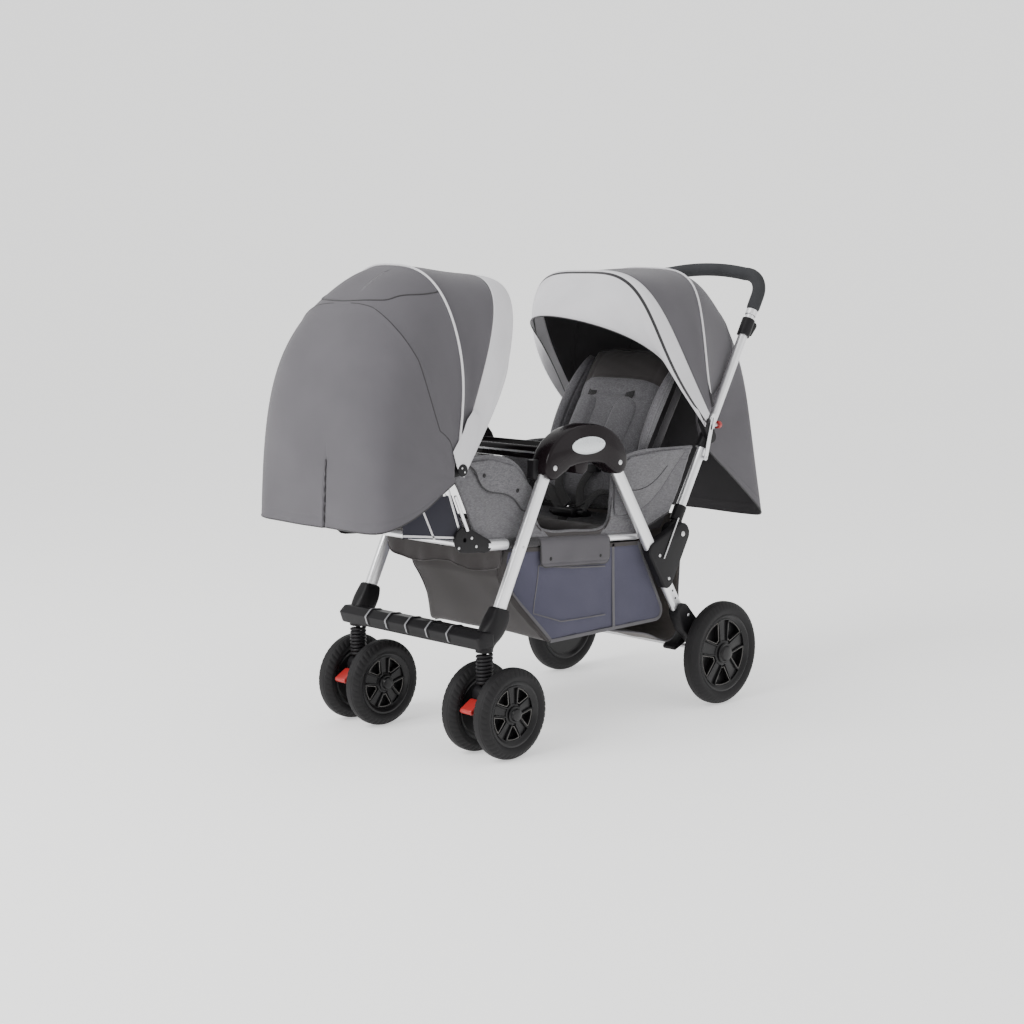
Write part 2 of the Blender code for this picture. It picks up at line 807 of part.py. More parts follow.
def caster_spring(side):
    """One wire wound round the stem, with an upright end at the top and the bottom."""
    low = fork_top + gap
    high = bumper_centre[1] - bumper_height / 2 - gap - collar_height - gap
    straight = 2 * spring_wire
    start, rise = low + straight, high - low - 2 * straight
    per_turn = 8
    count = spring_turns * per_turn
    points = [(spring_radius, 0.0, low)]
    for i in range(count + 1):
        angle = 2 * math.pi * i / per_turn
        points.append((spring_radius * math.cos(angle), spring_radius * math.sin(angle),
                       start + rise * i / count))
    points.append((*points[-1][:2], high))
    pitch = rise / spring_turns
    apart = []
    wound = np.array(points[1:-1])
    for i in range(len(wound)):
        far = wound[i + per_turn - 2:]
        if len(far):
            apart.append(np.linalg.norm(far - wound[i], axis=1).min())
    print(f"caster spring: pitch {pitch * 1000:.2f} mm, least gap to itself "
          f"{(min(apart) - 2 * spring_wire) * 1000:.2f} mm")
    y = side * caster_track / 2
    moved = [(caster_x + px, y + py, pz) for px, py, pz in points]
    return tube("caster_spring_" + side_names[side], moved, spring_wire, 1)


def caster_fork(side):
    """The block between the twin wheels: bored for the stem, with the axle across it."""
    y = side * caster_track / 2
    half = fork_width / 2
    item = prism("caster_fork_" + side_names[side],
                 hull([((caster_x, fork_top - 0.018), 0.018),
                       ((caster_x, front_axle[1] + 0.012), 0.017),
                       (front_axle, 0.020)], 16),
                 y - half, y + half, 0.004)
    boss = rod("boss", (front_axle[0], y - twin_inner, front_axle[1]),
               (front_axle[0], y + twin_inner, front_axle[1]), 0.0125, 16)
    reach = twin_wheel_spacing / 2 + front_wheel_width / 2 + 0.002
    axle = rod("axle", (front_axle[0], y - reach, front_axle[1]),
               (front_axle[0], y + reach, front_axle[1]), front_axle_radius, 12)
    combine(item, [boss, axle], "UNION")
    bore = rod("bore", (caster_x, y, stem_bottom - suspension_travel - 0.004),
               (caster_x, y, fork_top + 0.03), stem_radius + running, 16)
    return combine(item, [bore], "DIFFERENCE")


twin_inner = twin_wheel_spacing / 2 - front_wheel_width / 2 - gap
lever_pivot = (caster_x - 0.0235, 0.116)


def lock_lever(side):
    """A toe lever on the fork that locks the swivel."""
    y = side * caster_track / 2
    tip = along(lever_pivot, math.radians(215), 0.021)
    return prism("lock_lever_" + side_names[side],
                 hull([(lever_pivot, 0.0060), (tip, 0.0045)], 12), y - 0.010, y + 0.010, 0.0015)


# Seat unit


def rail_z(x):
    """Height of the seat rails' centre line."""
    slope = (rail_rear[1] - rail_front[1]) / (rail_rear[0] - rail_front[0])
    return rail_front[1] + slope * (x - rail_front[0])


def seat_frame_tube():
    """A tube bent into a flat ring that carries both seats."""
    corners = [(rail_front[0], -rail_y), (rail_rear[0], -rail_y), (rail_rear[0], rail_y),
               (rail_front[0], rail_y)]
    path = []
    for i, (x, y) in enumerate(corners):
        sx, sy = math.copysign(1, x - 0.0 + 0.1), math.copysign(1, y)
        cx, cy = x - sx * rail_corner, y - sy * rail_corner
        start = math.atan2(sy, sx) - math.radians(45)
        for k in range(5):
            angle = start + math.radians(90) * k / 4
            px, py = cx + rail_corner * math.cos(angle), cy + rail_corner * math.sin(angle)
            path.append((px, py, rail_z(px)))
    return tube("seat_frame_tube", path, rail_radius, 4, cyclic=True)


def recline_plate(side):
    """A plate on the rail's front end that the front backrest turns and locks on."""
    inner = rail_y + rail_radius + gap
    rail_spot = (rail_front[0] + 0.024, rail_z(rail_front[0] + 0.024))
    item = prism("recline_plate_" + side_names[side],
                 hull([(front_recline_pivot, 0.027), (rail_spot, 0.013)]),
                 side * inner, side * (inner + plate_thickness), 0.0012)
    bore = prism("bore", hole(front_recline_pivot, pin_radius + gap),
                 side * (inner - 0.01), side * (inner + 0.02))
    return combine(item, [bore], "DIFFERENCE")


def back_path(pivot, angle, length, half):
    """A U from one foot up over the top and down to the other foot."""
    spots = [(0.0, -half), (length, -half), (length, half), (0.0, half)]
    corners = [(*along(pivot, angle, s)[:1], y, along(pivot, angle, s)[1]) for s, y in spots]
    return rounded_path(corners, back_corner, 5)


def backrest_frame(name, pivot, angle, length, half, boss_outer, lug):
    """A bent tube with a round foot at each pivot."""
    item = tube(name, back_path(pivot, angle, length, half), back_tube_radius, 3)
    added = []
    for side in (-1, 1):
        added.append(prism("foot", circle(pivot, 0.0115, 12), side * (half - 0.009),
                           side * boss_outer, 0.0015))
        if lug:
            pin_end = boss_outer + plate_thickness + 0.003
            added.append(prism("pin", circle(pivot, pin_radius, 12), side * (boss_outer - 0.004),
                               side * pin_end))
            root = along(pivot, angle, 0.149)
            added.append(prism("lug", hull([(root, 0.012), (front_hood_foot, 0.013)]),
                               side * (half + 0.002), side * hood_seat, 0.002))
    return combine(item, added, "UNION")


def backrest_pad(name, pivot, angle, facing, start, end, half, offset, channels):
    """A crowned pad with drawn-in sides and sewn channels, in front of the backrest tube."""
    ux, uz = math.cos(angle), math.sin(angle)
    nx, nz = facing * uz, -facing * ux
    rows, columns = 17, 9
    t = np.linspace(-1, 1, rows)[:, None]
    s = np.linspace(-1, 1, columns)[None, :]
    corner = 1 - 0.10 * np.abs(t) ** 7
    drawn = 1 - 0.035 * (1 - t ** 2)
    y = half * s * corner * drawn
    run = (start + end) / 2 + (end - start) / 2 * t * (1 - 0.05 * np.abs(s) ** 7)
    dome = (1 - np.abs(s) ** 4) * (1 - np.abs(t) ** 6)
    depth = pad_thickness * 0.45 + (pad_thickness * 0.55 + pad_crown) * dome
    for spot in channels:
        depth = depth - 0.007 * np.exp(-((t - spot) / 0.045) ** 2) * dome
    rim = 0.0035
    face = offset + np.maximum(depth, 2 * rim)
    back = offset - 0.0003 + 0 * depth

    def grid(height):
        return np.stack([pivot[0] + ux * run + nx * height, y + 0 * run,
                         pivot[1] + uz * run + nz * height], 2)

    return pillow(name, grid(face), grid(back))


def seat_liner():
    """Two seat pads with the shared footwell hanging between them, in one length."""
    lift = 0.012
    well_front, well_rear = -0.150, -0.004
    floor = rail_z(-0.08) - footwell_depth
    corners = [
        (rail_front[0] + rail_radius + 0.012, 0, rail_z(rail_front[0]) + lift),
        (well_front - 0.006, 0, rail_z(well_front) + lift),
        (well_front + 0.012, 0, floor),
        (well_rear - 0.012, 0, floor),
        (well_rear + 0.006, 0, rail_z(well_rear) + lift),
        (0.094, 0, rail_z(0.094) + lift),
    ]
    path = np.array([tuple(p) for p in rounded_path(corners, 0.022, 4)])[:, [0, 2]]
    run = np.r_[0, np.cumsum(np.linalg.norm(np.diff(path, axis=0), axis=1))]
    even = np.linspace(0, run[-1], 29)
    line = np.stack([np.interp(even, run, path[:, k]) for k in (0, 1)], 1)
    step = np.gradient(line, axis=0)
    step /= np.linalg.norm(step, axis=1)[:, None]
    normal = np.stack([-step[:, 1], step[:, 0]], 1)
    columns = 7
    s = np.linspace(-1, 1, columns)[None, :]
    seat = np.clip((line[:, 1] - floor) / footwell_depth, 0, 1)[:, None] ** 2
    ends = 1 - np.abs(np.linspace(-1, 1, len(line)))[:, None] ** 14
    plump = 0.0035 + (0.0035 + 0.0075 * seat) * (1 - np.abs(s) ** 5) * ends
    half = rail_y - rail_radius - gap
    y = np.repeat(half * s, len(line), 0)

    def grid(sign):
        return np.stack([line[:, :1] + sign * plump * normal[:, :1], y,
                         line[:, 1:] + sign * plump * normal[:, 1:]], 2)

    return pillow("seat_liner", grid(1), grid(-1))


def side_guard(side):
    """A padded fabric side that rises beside each seat and dips under the hub."""
    end_height = 0.592
    end_reach = (end_height - handle_pivot[1]) / math.tan(handle_angle) - guard_before_handle
    rear_end = (handle_pivot[0] + end_reach, end_height)
    top = smooth_line([(-0.432, 0.585), (-0.395, 0.613), (-0.330, 0.617), (-0.262, 0.600),
                       (-0.205, 0.545), (-0.150, 0.492), (-0.080, 0.470), (-0.010, 0.480),
                       (0.045, 0.545), (0.100, 0.588), (0.200, 0.594), rear_end], 21)
    low_front, low_rear = rail_front[0] + 0.006, handle_pivot[0] - 0.0025
    foot_x = np.linspace(low_front, low_rear, len(top))
    foot_z = np.array([rail_z(min(x, rail_rear[0] - 0.01)) for x in foot_x])
    foot_z = foot_z + rail_radius + gap
    climb = np.clip((foot_x - rail_rear[0] + 0.02) / (low_rear - rail_rear[0] + 0.02), 0, 1)
    foot_z = foot_z + climb * (handle_pivot[1] + guard_over_knuckle - foot_z[-1])
    rise = np.linspace(0, 1, 4)[:, None]
    x = foot_x + (top[:, 0] - foot_x) * rise
    z = foot_z + (top[:, 1] - foot_z) * rise
    y = side * (rail_y + 0.0008 + 0 * x)
    grid = np.stack([x, y, z], 2)
    if side > 0:
        grid = grid[:, ::-1]
    return sheet("side_guard_" + side_names[side], grid, guard_thickness)


def basket():
    """An open fabric tub that hangs between the seat rails."""
    half = basket_track / 2
    drop = rail_radius + 0.0018
    outline = [
        (-0.285, rail_z(-0.285) - drop),
        (-0.262, 0.352),
        (-0.168, 0.208),
        (0.222, 0.208),
        (0.126, rail_z(0.126) - drop),
    ]
    bm = bmesh.new()
    near = [bm.verts.new((x, -half, z)) for x, z in outline]
    far = [bm.verts.new((x, half, z)) for x, z in outline]
    bm.faces.new(near)
    bm.faces.new(far[::-1])
    for i in range(len(outline) - 1):
        bm.faces.new((near[i + 1], near[i], far[i], far[i + 1]))
    inner = [e for e in bm.edges if not e.is_boundary]
    bmesh.ops.bevel(bm, geom=inner, offset=0.014, segments=2, profile=0.5, affect="EDGES")
    mesh = bpy.data.meshes.new("basket")
    bm.to_mesh(mesh)
    bm.free()
    item = loose("basket", mesh)
    wall = item.modifiers.new("Thickness", "SOLIDIFY")
    wall.thickness = basket_wall
    wall.offset = 1.0
    return item


# Hoods

hood_lug_depth = 0.0092
hood_seat = handle_y + handle_tube_radius + hood_lug_depth
drape_half = handle_y - handle_tube_radius - sleeve_wall - gap
front_hood_foot = (-0.437, 0.600)
clamp_middle = along(handle_pivot, handle_angle, clamp_start + clamp_length / 2)
rear_hood_foot = (clamp_middle[0] - 0.0216, clamp_middle[1] + 0.0437)


def hoop(foot, crown, half, bow, square, count):
    """A squarish arch from the left foot over the crown to the right foot.

    Its height runs from the foot to the crown, and the bow pushes its middle off that line.
    """
    phi = np.linspace(0, math.pi, 241)
    level = np.sin(phi) ** (2 / square)
    across = -np.sign(np.cos(phi)) * np.abs(np.cos(phi)) ** (2 / square) * half
    chord = np.array(crown) - np.array(foot)
    normal = np.array((-chord[1], chord[0])) / np.linalg.norm(chord)
    side_line = (
        np.array(foot) + chord * level[:, None] + normal * (bow * np.sin(math.pi * level))[:, None]
    )
    points = np.stack([side_line[:, 0], across, side_line[:, 1]], 1)
    run = np.r_[0, np.cumsum(np.linalg.norm(np.diff(points, axis=0), axis=1))]
    even = np.linspace(0, run[-1], count)
    return np.stack([np.interp(even, run, points[:, k]) for k in range(3)], 1)


def build_hood(prefix, hoops, row_counts, columns, step, visor_body, cover_body, drape_step):
    """One surface over all the hoops, parted at the seam behind the third one.

    The piece in front of the seam is the light visor, which folds back. The cover behind it is
    moved back by the step, so that the two don't touch. With a drape step, the cloth below the
    fifth hoop is a drape of its own, moved down by that step.
    """
    curves = np.stack([hoop(*one, columns) for one in hoops])
    apart = np.linalg.norm(np.diff(curves, axis=0), axis=2).mean(axis=1)
    knots = np.r_[0, np.cumsum(apart)]
    samples = [0.0]
    for i, count in enumerate(row_counts):
        samples += list(knots[i] + apart[i] * np.arange(1, count + 1) / count)
    weights = spline_weights(knots, np.array(samples))
    grid = np.einsum("rk,kmc->rmc", weights, curves)
    seam = row_counts[0] + row_counts[1]
    visor = sheet(prefix + "_visor", grid[:seam + 1], hood_thickness)
    place(visor, visor_body, finishes["light_fabric"])
    back = grid[seam:] + np.array((step, 0, 0))
    if drape_step:
        hang = row_counts[2] + row_counts[3]
        drape = sheet(prefix + "_drape", back[hang:] - np.array((0, 0, drape_step)),
                      hood_thickness)
        place(drape, cover_body, finishes["dark_fabric"])
        back = back[:hang + 1]
    cover = sheet(prefix + "_cover", back, hood_thickness)
    place(cover, cover_body, finishes["dark_fabric"])


front_top = along(front_recline_pivot, front_back_angle, front_back_length)
rear_top = along(rear_recline_pivot, rear_back_angle, rear_back_length)


def over(spot, ahead, above):
    """The point this far ahead of and above another one, in the side view."""
    return (spot[0] + ahead, spot[1] + above)


# Each hoop is (foot, crown, half width, bow, how square its arch is)
front_valance = (over(front_hood_foot, 0.011, -0.015),
                 over(front_top, 0.316, 0.055), hood_seat + 0.0028, 0.004, 3.4)
front_binding = (over(front_hood_foot, 0.007, -0.008),
                 over(front_top, 0.328, 0.164), hood_seat + 0.0034, 0.008, 3.4)
front_band = (over(front_hood_foot, -0.004, 0.022),
              over(front_top, 0.266, 0.180), hood_seat + 0.0043, 0.005, 3.4)
front_piping = (over(front_hood_foot, -0.009, 0.032),
                over(front_top, 0.104, 0.195), hood_seat + 0.0068, -0.016, 2.7)
front_third = (over(front_hood_foot, -0.015, 0.012),
               over(front_top, -0.043, 0.100), hood_seat + 0.0068, -0.015, 3.2)
front_hem = (over(front_hood_foot, -0.013, -0.022),
             over(front_top, -0.105, -0.319), hood_seat + 0.0058, 0.011, 10.0)
rear_valance = (over(rear_hood_foot, -0.008, -0.012),
                over(rear_top, -0.330, 0.097), hood_seat + 0.0028, -0.043, 2.0)
rear_binding = (over(rear_hood_foot, -0.004, -0.004),
                over(rear_top, -0.213, 0.193), hood_seat + 0.0034, 0.036, 3.8)
rear_band = (over(rear_hood_foot, 0.006, 0.016),
             over(rear_top, -0.196, 0.198), hood_seat + 0.0043, 0.010, 3.9)
rear_piping = (over(rear_hood_foot, 0.011, 0.030),
               over(rear_top, 0.008, 0.200), hood_seat + 0.0053, 0.028, 3.2)
rear_third = (over(rear_hood_foot, 0.021, 0.027),
              over(rear_top, 0.144, 0.104), drape_half, -0.040, 4.3)
rear_hem = (over(rear_hood_foot, 0.024, -0.052),
            over(rear_top, 0.278, -0.395), drape_half, 0.0, 13.0)


def build_hoods():
    front = [front_valance, front_binding, front_band, front_piping, front_third, front_hem]
    build_hood("front_hood", front, (2, 2, 3, 3, 5), 19, -0.0008, "front_hood", "front_back", 0)
    rear = [rear_valance, rear_binding, rear_band, rear_piping, rear_third, rear_hem]
    build_hood("rear_hood", rear, (2, 2, 3, 3, 5), 19, 0.0008, "rear_hood", "handle", 0.0024)


def build_bodies():
    add_body("frame", None, (0, 0, 0))
    add_body("handle", "frame", (handle_pivot[0], 0, handle_pivot[1]))
    add_body("latch", "handle", on_handle(latch_pivot_at, 0))
    add_body("rear_hood", "handle", (rear_hood_foot[0], 0, rear_hood_foot[1]))
    add_body("front_legs", "frame", (front_pivot[0], 0, front_pivot[1]))
    add_body("seat", "frame", (seat_pin_x, 0, rail_z(seat_pin_x)))
    add_body("front_back", "seat", (front_recline_pivot[0], 0, front_recline_pivot[1]))
    add_body("rear_back", "seat", (rear_recline_pivot[0], 0, rear_recline_pivot[1]))
    add_body("front_hood", "front_back", (front_hood_foot[0], 0, front_hood_foot[1]))
    add_body("brake", "frame", (brake_axis[0], 0, brake_axis[1]))
    for side in (-1, 1):
        word = side_names[side]
        y = side * caster_track / 2
        add_body("trigger_" + word, "handle", on_handle(trigger_start, side * handle_y))
        add_body("caster_" + word, "front_legs", (caster_x, y, fork_top))
        add_body("fork_" + word, "caster_" + word, (caster_x, y, fork_top))
        add_body("lever_" + word, "fork_" + word, (lever_pivot[0], y, lever_pivot[1]))
        add_body("rear_wheel_" + word, "frame", (rear_axle[0], side * rear_track / 2, rear_axle[1]))
        for place_word, step in (("outer", 1), ("inner", -1)):
            wheel_y = y + side * step * twin_wheel_spacing / 2
            add_body("wheel_" + word + "_" + place_word, "fork_" + word,
                     (front_axle[0], wheel_y, front_axle[1]))


def build_frame():
    for side in (-1, 1):
        word = side_names[side]
        y = side * leg_y
        place(hub(side), "frame", finishes["gloss_black"])
        rear = leg("rear_leg_" + word, rear_pivot, rear_leg_end, y)
        stud_end = rail_y + rail_radius + gap
        spot = (seat_pin_x, rail_z(seat_pin_x))
        stud = prism("stud", circle(spot, 0.0065, 12), side * stud_end, side * leg_y)
        place(combine(rear, [stud], "UNION"), "frame", finishes["aluminium"])
        front = leg("front_leg_" + word, front_pivot, front_leg_end, y)
        spot = (front_stud_x, rail_z(front_stud_x))
        stud = prism("stud", circle(spot, 0.0065, 12), side * stud_end, side * leg_y)
        place(combine(front, [stud], "UNION"), "front_legs", finishes["aluminium"])
        place(mid_joint(side), "frame", finishes["black_plastic"])
        place(rear_bracket(side), "frame", finishes["black_plastic"])
        wheel("rear", word, rear_axle, side * rear_track / 2, rear_wheel_radius,
              rear_wheel_width, rear_rim_radius, rear_axle_radius + running, rear_wheel_steps,
              "rear_wheel_" + word)
    place(center_tray(), "frame", finishes["gloss_black"])
    reach = rear_track / 2 + rear_wheel_width / 2 + 0.004
    axle = rod("rear_axle", (rear_axle[0], -reach, rear_axle[1]),
               (rear_axle[0], reach, rear_axle[1]), rear_axle_radius, 12)
    place(axle, "frame", finishes["steel"])
    place(brake_bar(), "brake", finishes["black_plastic"])
    place(basket(), "frame", finishes["mesh_fabric"])


def build_front_end():
    place(front_bumper(), "front_legs", finishes["black_plastic"])
    for side in (-1, 1):
        word = side_names[side]
        place(caster_stem(side), "caster_" + word, finishes["black_plastic"])
        place(caster_spring(side), "fork_" + word, finishes["black_plastic"])
        place(caster_fork(side), "fork_" + word, finishes["black_plastic"])
        place(lock_lever(side), "lever_" + word, finishes["red_plastic"])
        for place_word, step in (("outer", 1), ("inner", -1)):
            y = side * (caster_track / 2 + step * twin_wheel_spacing / 2)
            wheel("front", word + "_" + place_word, front_axle, y, front_wheel_radius,
                  front_wheel_width, front_rim_radius, front_axle_radius + running,
                  front_wheel_steps, "wheel_" + word + "_" + place_word)


def build_handle():
    tube_item = tube("handle_tube", handle_path(knuckle_reach + 0.003), handle_tube_radius)
    place(tube_item, "handle", finishes["aluminium"])
    place(handle_grip(), "handle", finishes["foam"])
    for side in (-1, 1):
        place(handle_knuckle(side), "handle", finishes["black_plastic"])
        place(canopy_clamp(side), "handle", finishes["black_plastic"])
        place(trigger(side), "trigger_" + side_names[side], finishes["black_plastic"])
    place(safety_latch(), "latch", finishes["steel"])


def build_seat():
    place(seat_frame_tube(), "seat", finishes["aluminium"])
    place(seat_liner(), "seat", finishes["seat_fabric"])
    for side in (-1, 1):
        place(recline_plate(side), "seat", finishes["black_plastic"])
        place(side_guard(side), "seat", finishes["seat_fabric"])
    boss = rail_y + rail_radius
    place(backrest_frame("front_back_frame", front_recline_pivot, front_back_angle,
                         front_back_length, front_back_track / 2, boss, True),
          "front_back", finishes["aluminium"])
    place(backrest_frame("rear_back_frame", rear_recline_pivot, rear_back_angle,
                         rear_back_length, rear_back_track / 2, rail_y - rail_radius - gap,
                         False),
          "rear_back", finishes["aluminium"])
    offset = back_tube_radius + gap
    channels = (-0.34, 0.34)
    place(backrest_pad("front_back_pad", front_recline_pivot, front_back_angle, 1, 0.035,
                       front_back_length + 0.004, front_back_track / 2 - 0.020, offset, channels),
          "front_back", finishes["seat_fabric"])
    place(backrest_pad("rear_back_pad", rear_recline_pivot, rear_back_angle, -1, 0.050,
                       rear_back_length + 0.004, rear_back_track / 2, offset, channels),
          "rear_back", finishes["seat_fabric"])


def centre_on_floor():
    """Moves the whole stroller along X so that its box is centred on the origin."""
    bpy.context.view_layer.update()
    graph = bpy.context.evaluated_depsgraph_get()
    low, high = 9.0, -9.0
    for item in bpy.data.objects:
        if item.type != "MESH":
            continue
        shape = item.evaluated_get(graph)
        xs = [(shape.matrix_world @ Vector(corner)).x for corner in shape.bound_box]
        low, high = min(low, *xs), max(high, *xs)
    shift = -round((low + high) / 2, 4)
    bodies["frame"][0].location.x += shift
    print(f"moved by {shift * 1000:.1f} mm along X")


clear_scene()
finishes = {
    "aluminium": finish("aluminium", (0.74, 0.75, 0.77), 0.9, 0.32),
    "steel": finish("steel", (0.62, 0.62, 0.63), 1.0, 0.30),
    "gloss_black": finish("gloss_black", (0.012, 0.010, 0.011), 0.0, 0.18),
    "black_plastic": finish("black_plastic", (0.020, 0.019, 0.020), 0.0, 0.45),
    "red_plastic": finish("red_plastic", (0.42, 0.03, 0.03), 0.0, 0.40),
    "tyre": finish("tyre", (0.032, 0.032, 0.033), 0.0, 0.75),
    "rim": finish("rim", (0.022, 0.021, 0.022), 0.0, 0.35),
    "foam": finish("foam", (0.045, 0.046, 0.049), 0.0, 0.90),
    "dark_fabric": finish("dark_fabric", (0.19, 0.18, 0.20), 0.0, 0.85),
    "light_fabric": finish("light_fabric", (0.66, 0.65, 0.67), 0.0, 0.80),
    "seat_fabric": finish("seat_fabric", (0.15, 0.145, 0.155), 0.0, 0.95),
    "mesh_fabric": finish("mesh_fabric", (0.10, 0.10, 0.14), 0.0, 0.90),
}
build_bodies()
build_frame()
build_front_end()
build_handle()
build_seat()
build_hoods()
centre_on_floor()
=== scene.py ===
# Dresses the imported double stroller: cloth, tubes, wheels, fittings, floor, light and camera.
# Points are written in the maker's own frame, x from the middle of the wheelbase; centring moves
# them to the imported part's frame. Side-view points are (x, z), lengths are metres.
import json
import math

import bmesh
import bpy
import numpy as np
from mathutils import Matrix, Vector

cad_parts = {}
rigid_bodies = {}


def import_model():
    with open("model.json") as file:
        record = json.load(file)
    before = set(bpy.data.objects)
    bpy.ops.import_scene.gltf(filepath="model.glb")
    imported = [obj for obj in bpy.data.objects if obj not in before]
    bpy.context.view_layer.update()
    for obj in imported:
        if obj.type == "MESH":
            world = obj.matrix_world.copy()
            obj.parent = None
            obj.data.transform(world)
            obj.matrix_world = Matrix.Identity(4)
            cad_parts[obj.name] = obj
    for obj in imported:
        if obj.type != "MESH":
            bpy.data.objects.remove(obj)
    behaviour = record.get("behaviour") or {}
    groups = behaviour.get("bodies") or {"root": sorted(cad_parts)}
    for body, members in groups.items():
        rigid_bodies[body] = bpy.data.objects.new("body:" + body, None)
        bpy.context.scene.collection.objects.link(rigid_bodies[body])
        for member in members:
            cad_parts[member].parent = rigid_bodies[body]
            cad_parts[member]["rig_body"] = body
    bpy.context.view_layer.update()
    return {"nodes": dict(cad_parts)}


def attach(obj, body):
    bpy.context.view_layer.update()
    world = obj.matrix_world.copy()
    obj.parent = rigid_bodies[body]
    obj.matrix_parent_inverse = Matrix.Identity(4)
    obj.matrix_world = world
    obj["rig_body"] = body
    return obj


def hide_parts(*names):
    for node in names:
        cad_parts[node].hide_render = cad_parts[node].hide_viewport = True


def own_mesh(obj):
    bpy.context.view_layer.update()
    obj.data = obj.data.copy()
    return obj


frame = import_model()
scene = bpy.context.scene
centring = 0.0143

print("stage: tools")

# Numbers that many pieces share


def alongLine(start, angle, distance):
    # the side-view point this far from start at this angle
    return (start[0] + distance * math.cos(angle), start[1] + distance * math.sin(angle))


carriage = {
    "frontPivot": (-0.188, 0.586), "rearPivot": (0.015, 0.583),
    "handlePivot": (0.243, 0.402), "handleAngle": math.radians(60.1), "handleLength": 0.672,
    "handleY": 0.180,
    "railFront": (-0.372, 0.438), "railRear": (0.146, 0.403),
    "casterX": -0.368, "casterY": 0.200,
}
bothSides = ((-1, "left"), (1, "right"))
nearAndFar = ((-1, "near"), (1, "far"))


def railZ(x):
    # height of the seat rails' centre line
    (ax, az), (bx, bz) = carriage["railFront"], carriage["railRear"]
    return az + (bz - az) / (bx - ax) * (x - ax)


def onHandle(distance):
    return alongLine(carriage["handlePivot"], carriage["handleAngle"], distance)


# Geometry tools


def gridQuads(rows, columns, closeRows=False, closeColumns=False):
    # quads of a rows x columns grid, with the last line joined to the first where it is closed
    i = np.arange(rows if closeRows else rows - 1)[:, None]
    j = np.arange(columns if closeColumns else columns - 1)[None, :]
    nextRow, nextColumn = (i + 1) % rows, (j + 1) % columns
    quads = np.stack([i * columns + j, i * columns + nextColumn,
                      nextRow * columns + nextColumn, nextRow * columns + j], 2)
    return quads.reshape(-1, 4)


def addObject(name, data, body=None):
    # an object in the scene, which rides on the body where one is given
    item = bpy.data.objects.new(name, data)
    scene.collection.objects.link(item)
    if body:
        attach(item, body)
    return item


def addMesh(name, points, faces, body, surfaces, uv=None, faceSurface=None, flip=False):
    # puts whole arrays of points and faces into an object that rides on the body
    points = np.array(points, float).reshape(-1, 3) + (centring, 0, 0)
    lists = [list(map(int, face)) for face in faces]
    if flip:
        lists = [face[::-1] for face in lists]
    mesh = bpy.data.meshes.new(name)
    mesh.from_pydata(points.tolist(), [], lists)
    surfaces = surfaces if isinstance(surfaces, (list, tuple)) else [surfaces]
    for surface in surfaces:
        mesh.materials.append(surface)
    if faceSurface is not None:
        mesh.polygons.foreach_set("material_index", np.array(faceSurface, np.int32))
    if uv is not None:
        corner = np.empty(len(mesh.loops), np.int32)
        mesh.loops.foreach_get("vertex_index", corner)
        layer = mesh.uv_layers.new(name="cloth")
        layer.data.foreach_set("uv", np.array(uv, np.float32)[corner].ravel())
    mesh.update()
    mesh.shade_smooth()
    return addObject(name, mesh, body)


def sharpen(piece, degrees=32):
    piece.data.set_sharp_from_angle(angle=math.radians(degrees))
    return piece


def splineWeights(knots, samples):
    # matrix that turns values at the knots into a natural cubic spline's values at the samples
    count = len(knots)
    step = np.diff(knots)
    system, change = np.eye(count), np.zeros((count, count))
    for i in range(1, count - 1):
        system[i, i - 1:i + 2] = (step[i - 1], 2 * (step[i - 1] + step[i]), step[i])
        change[i, i - 1:i + 2] = (6 / step[i - 1], -6 / step[i - 1] - 6 / step[i], 6 / step[i])
    bend = np.linalg.solve(system, change)
    spot = np.clip(np.searchsorted(knots, samples) - 1, 0, count - 2)
    b = ((samples - knots[spot]) / step[spot])[:, None]
    a = 1 - b
    unit = np.eye(count)
    curved = (a ** 3 - a) * bend[spot] + (b ** 3 - b) * bend[spot + 1]
    return a * unit[spot] + b * unit[spot + 1] + curved * step[spot, None] ** 2 / 6


def signedPower(value, power):
    return np.sign(value) * np.abs(value) ** power


def bell(value, width):
    # 1 at zero, falling off with exp(-(value / width)^2)
    return np.exp(-(value / width) ** 2)


def ramped(value, span):
    # value / span, held between 0 and 1
    return np.clip(value / span, 0, 1)


def runLength(points):
    return np.r_[0, np.cumsum(np.linalg.norm(np.diff(points, axis=0), axis=1))]


def evenly(points, count):
    # the same line, sampled at even distances
    points = np.array(points, float)
    run = runLength(points)
    spots = np.linspace(0, run[-1], count)
    return np.stack([np.interp(spots, run, points[:, k]) for k in range(points.shape[1])], 1)


def smoothLine(points, count):
    # natural cubic curve through the points, sampled at even distances
    points = np.array(points, float)
    knots = runLength(points)
    fine = splineWeights(knots, np.linspace(0, knots[-1], 300)) @ points
    return evenly(fine, count)


def arcPath(corners, radius, steps=8):
    # the corner points with each inner one replaced by an arc that touches both its lines
    corners = [np.array(corner, float) for corner in corners]
    path = [corners[0]]
    for before, corner, after in zip(corners, corners[1:], corners[2:]):
        into = (before - corner) / np.linalg.norm(before - corner)
        onward = (after - corner) / np.linalg.norm(after - corner)
        half = math.acos(np.clip(into @ onward, -1, 1)) / 2
        bisector = (into + onward) / np.linalg.norm(into + onward)
        centre = corner + bisector * radius / math.sin(half)
        first = corner + into * radius / math.tan(half) - centre
        last = corner + onward * radius / math.tan(half) - centre
        turn = math.pi - 2 * half
        t = np.linspace(0, 1, steps + 1)[:, None]
        path.extend(centre + (np.sin((1 - t) * turn) * first + np.sin(t * turn) * last)
                    / math.sin(turn))
    path.append(corners[-1])
    return np.array(path)


def roundSection(radius, sides=20, flatten=1.0):
    angle = 2 * math.pi * np.arange(sides) / sides
    return np.stack([radius * np.cos(angle), radius * flatten * np.sin(angle)], 1)


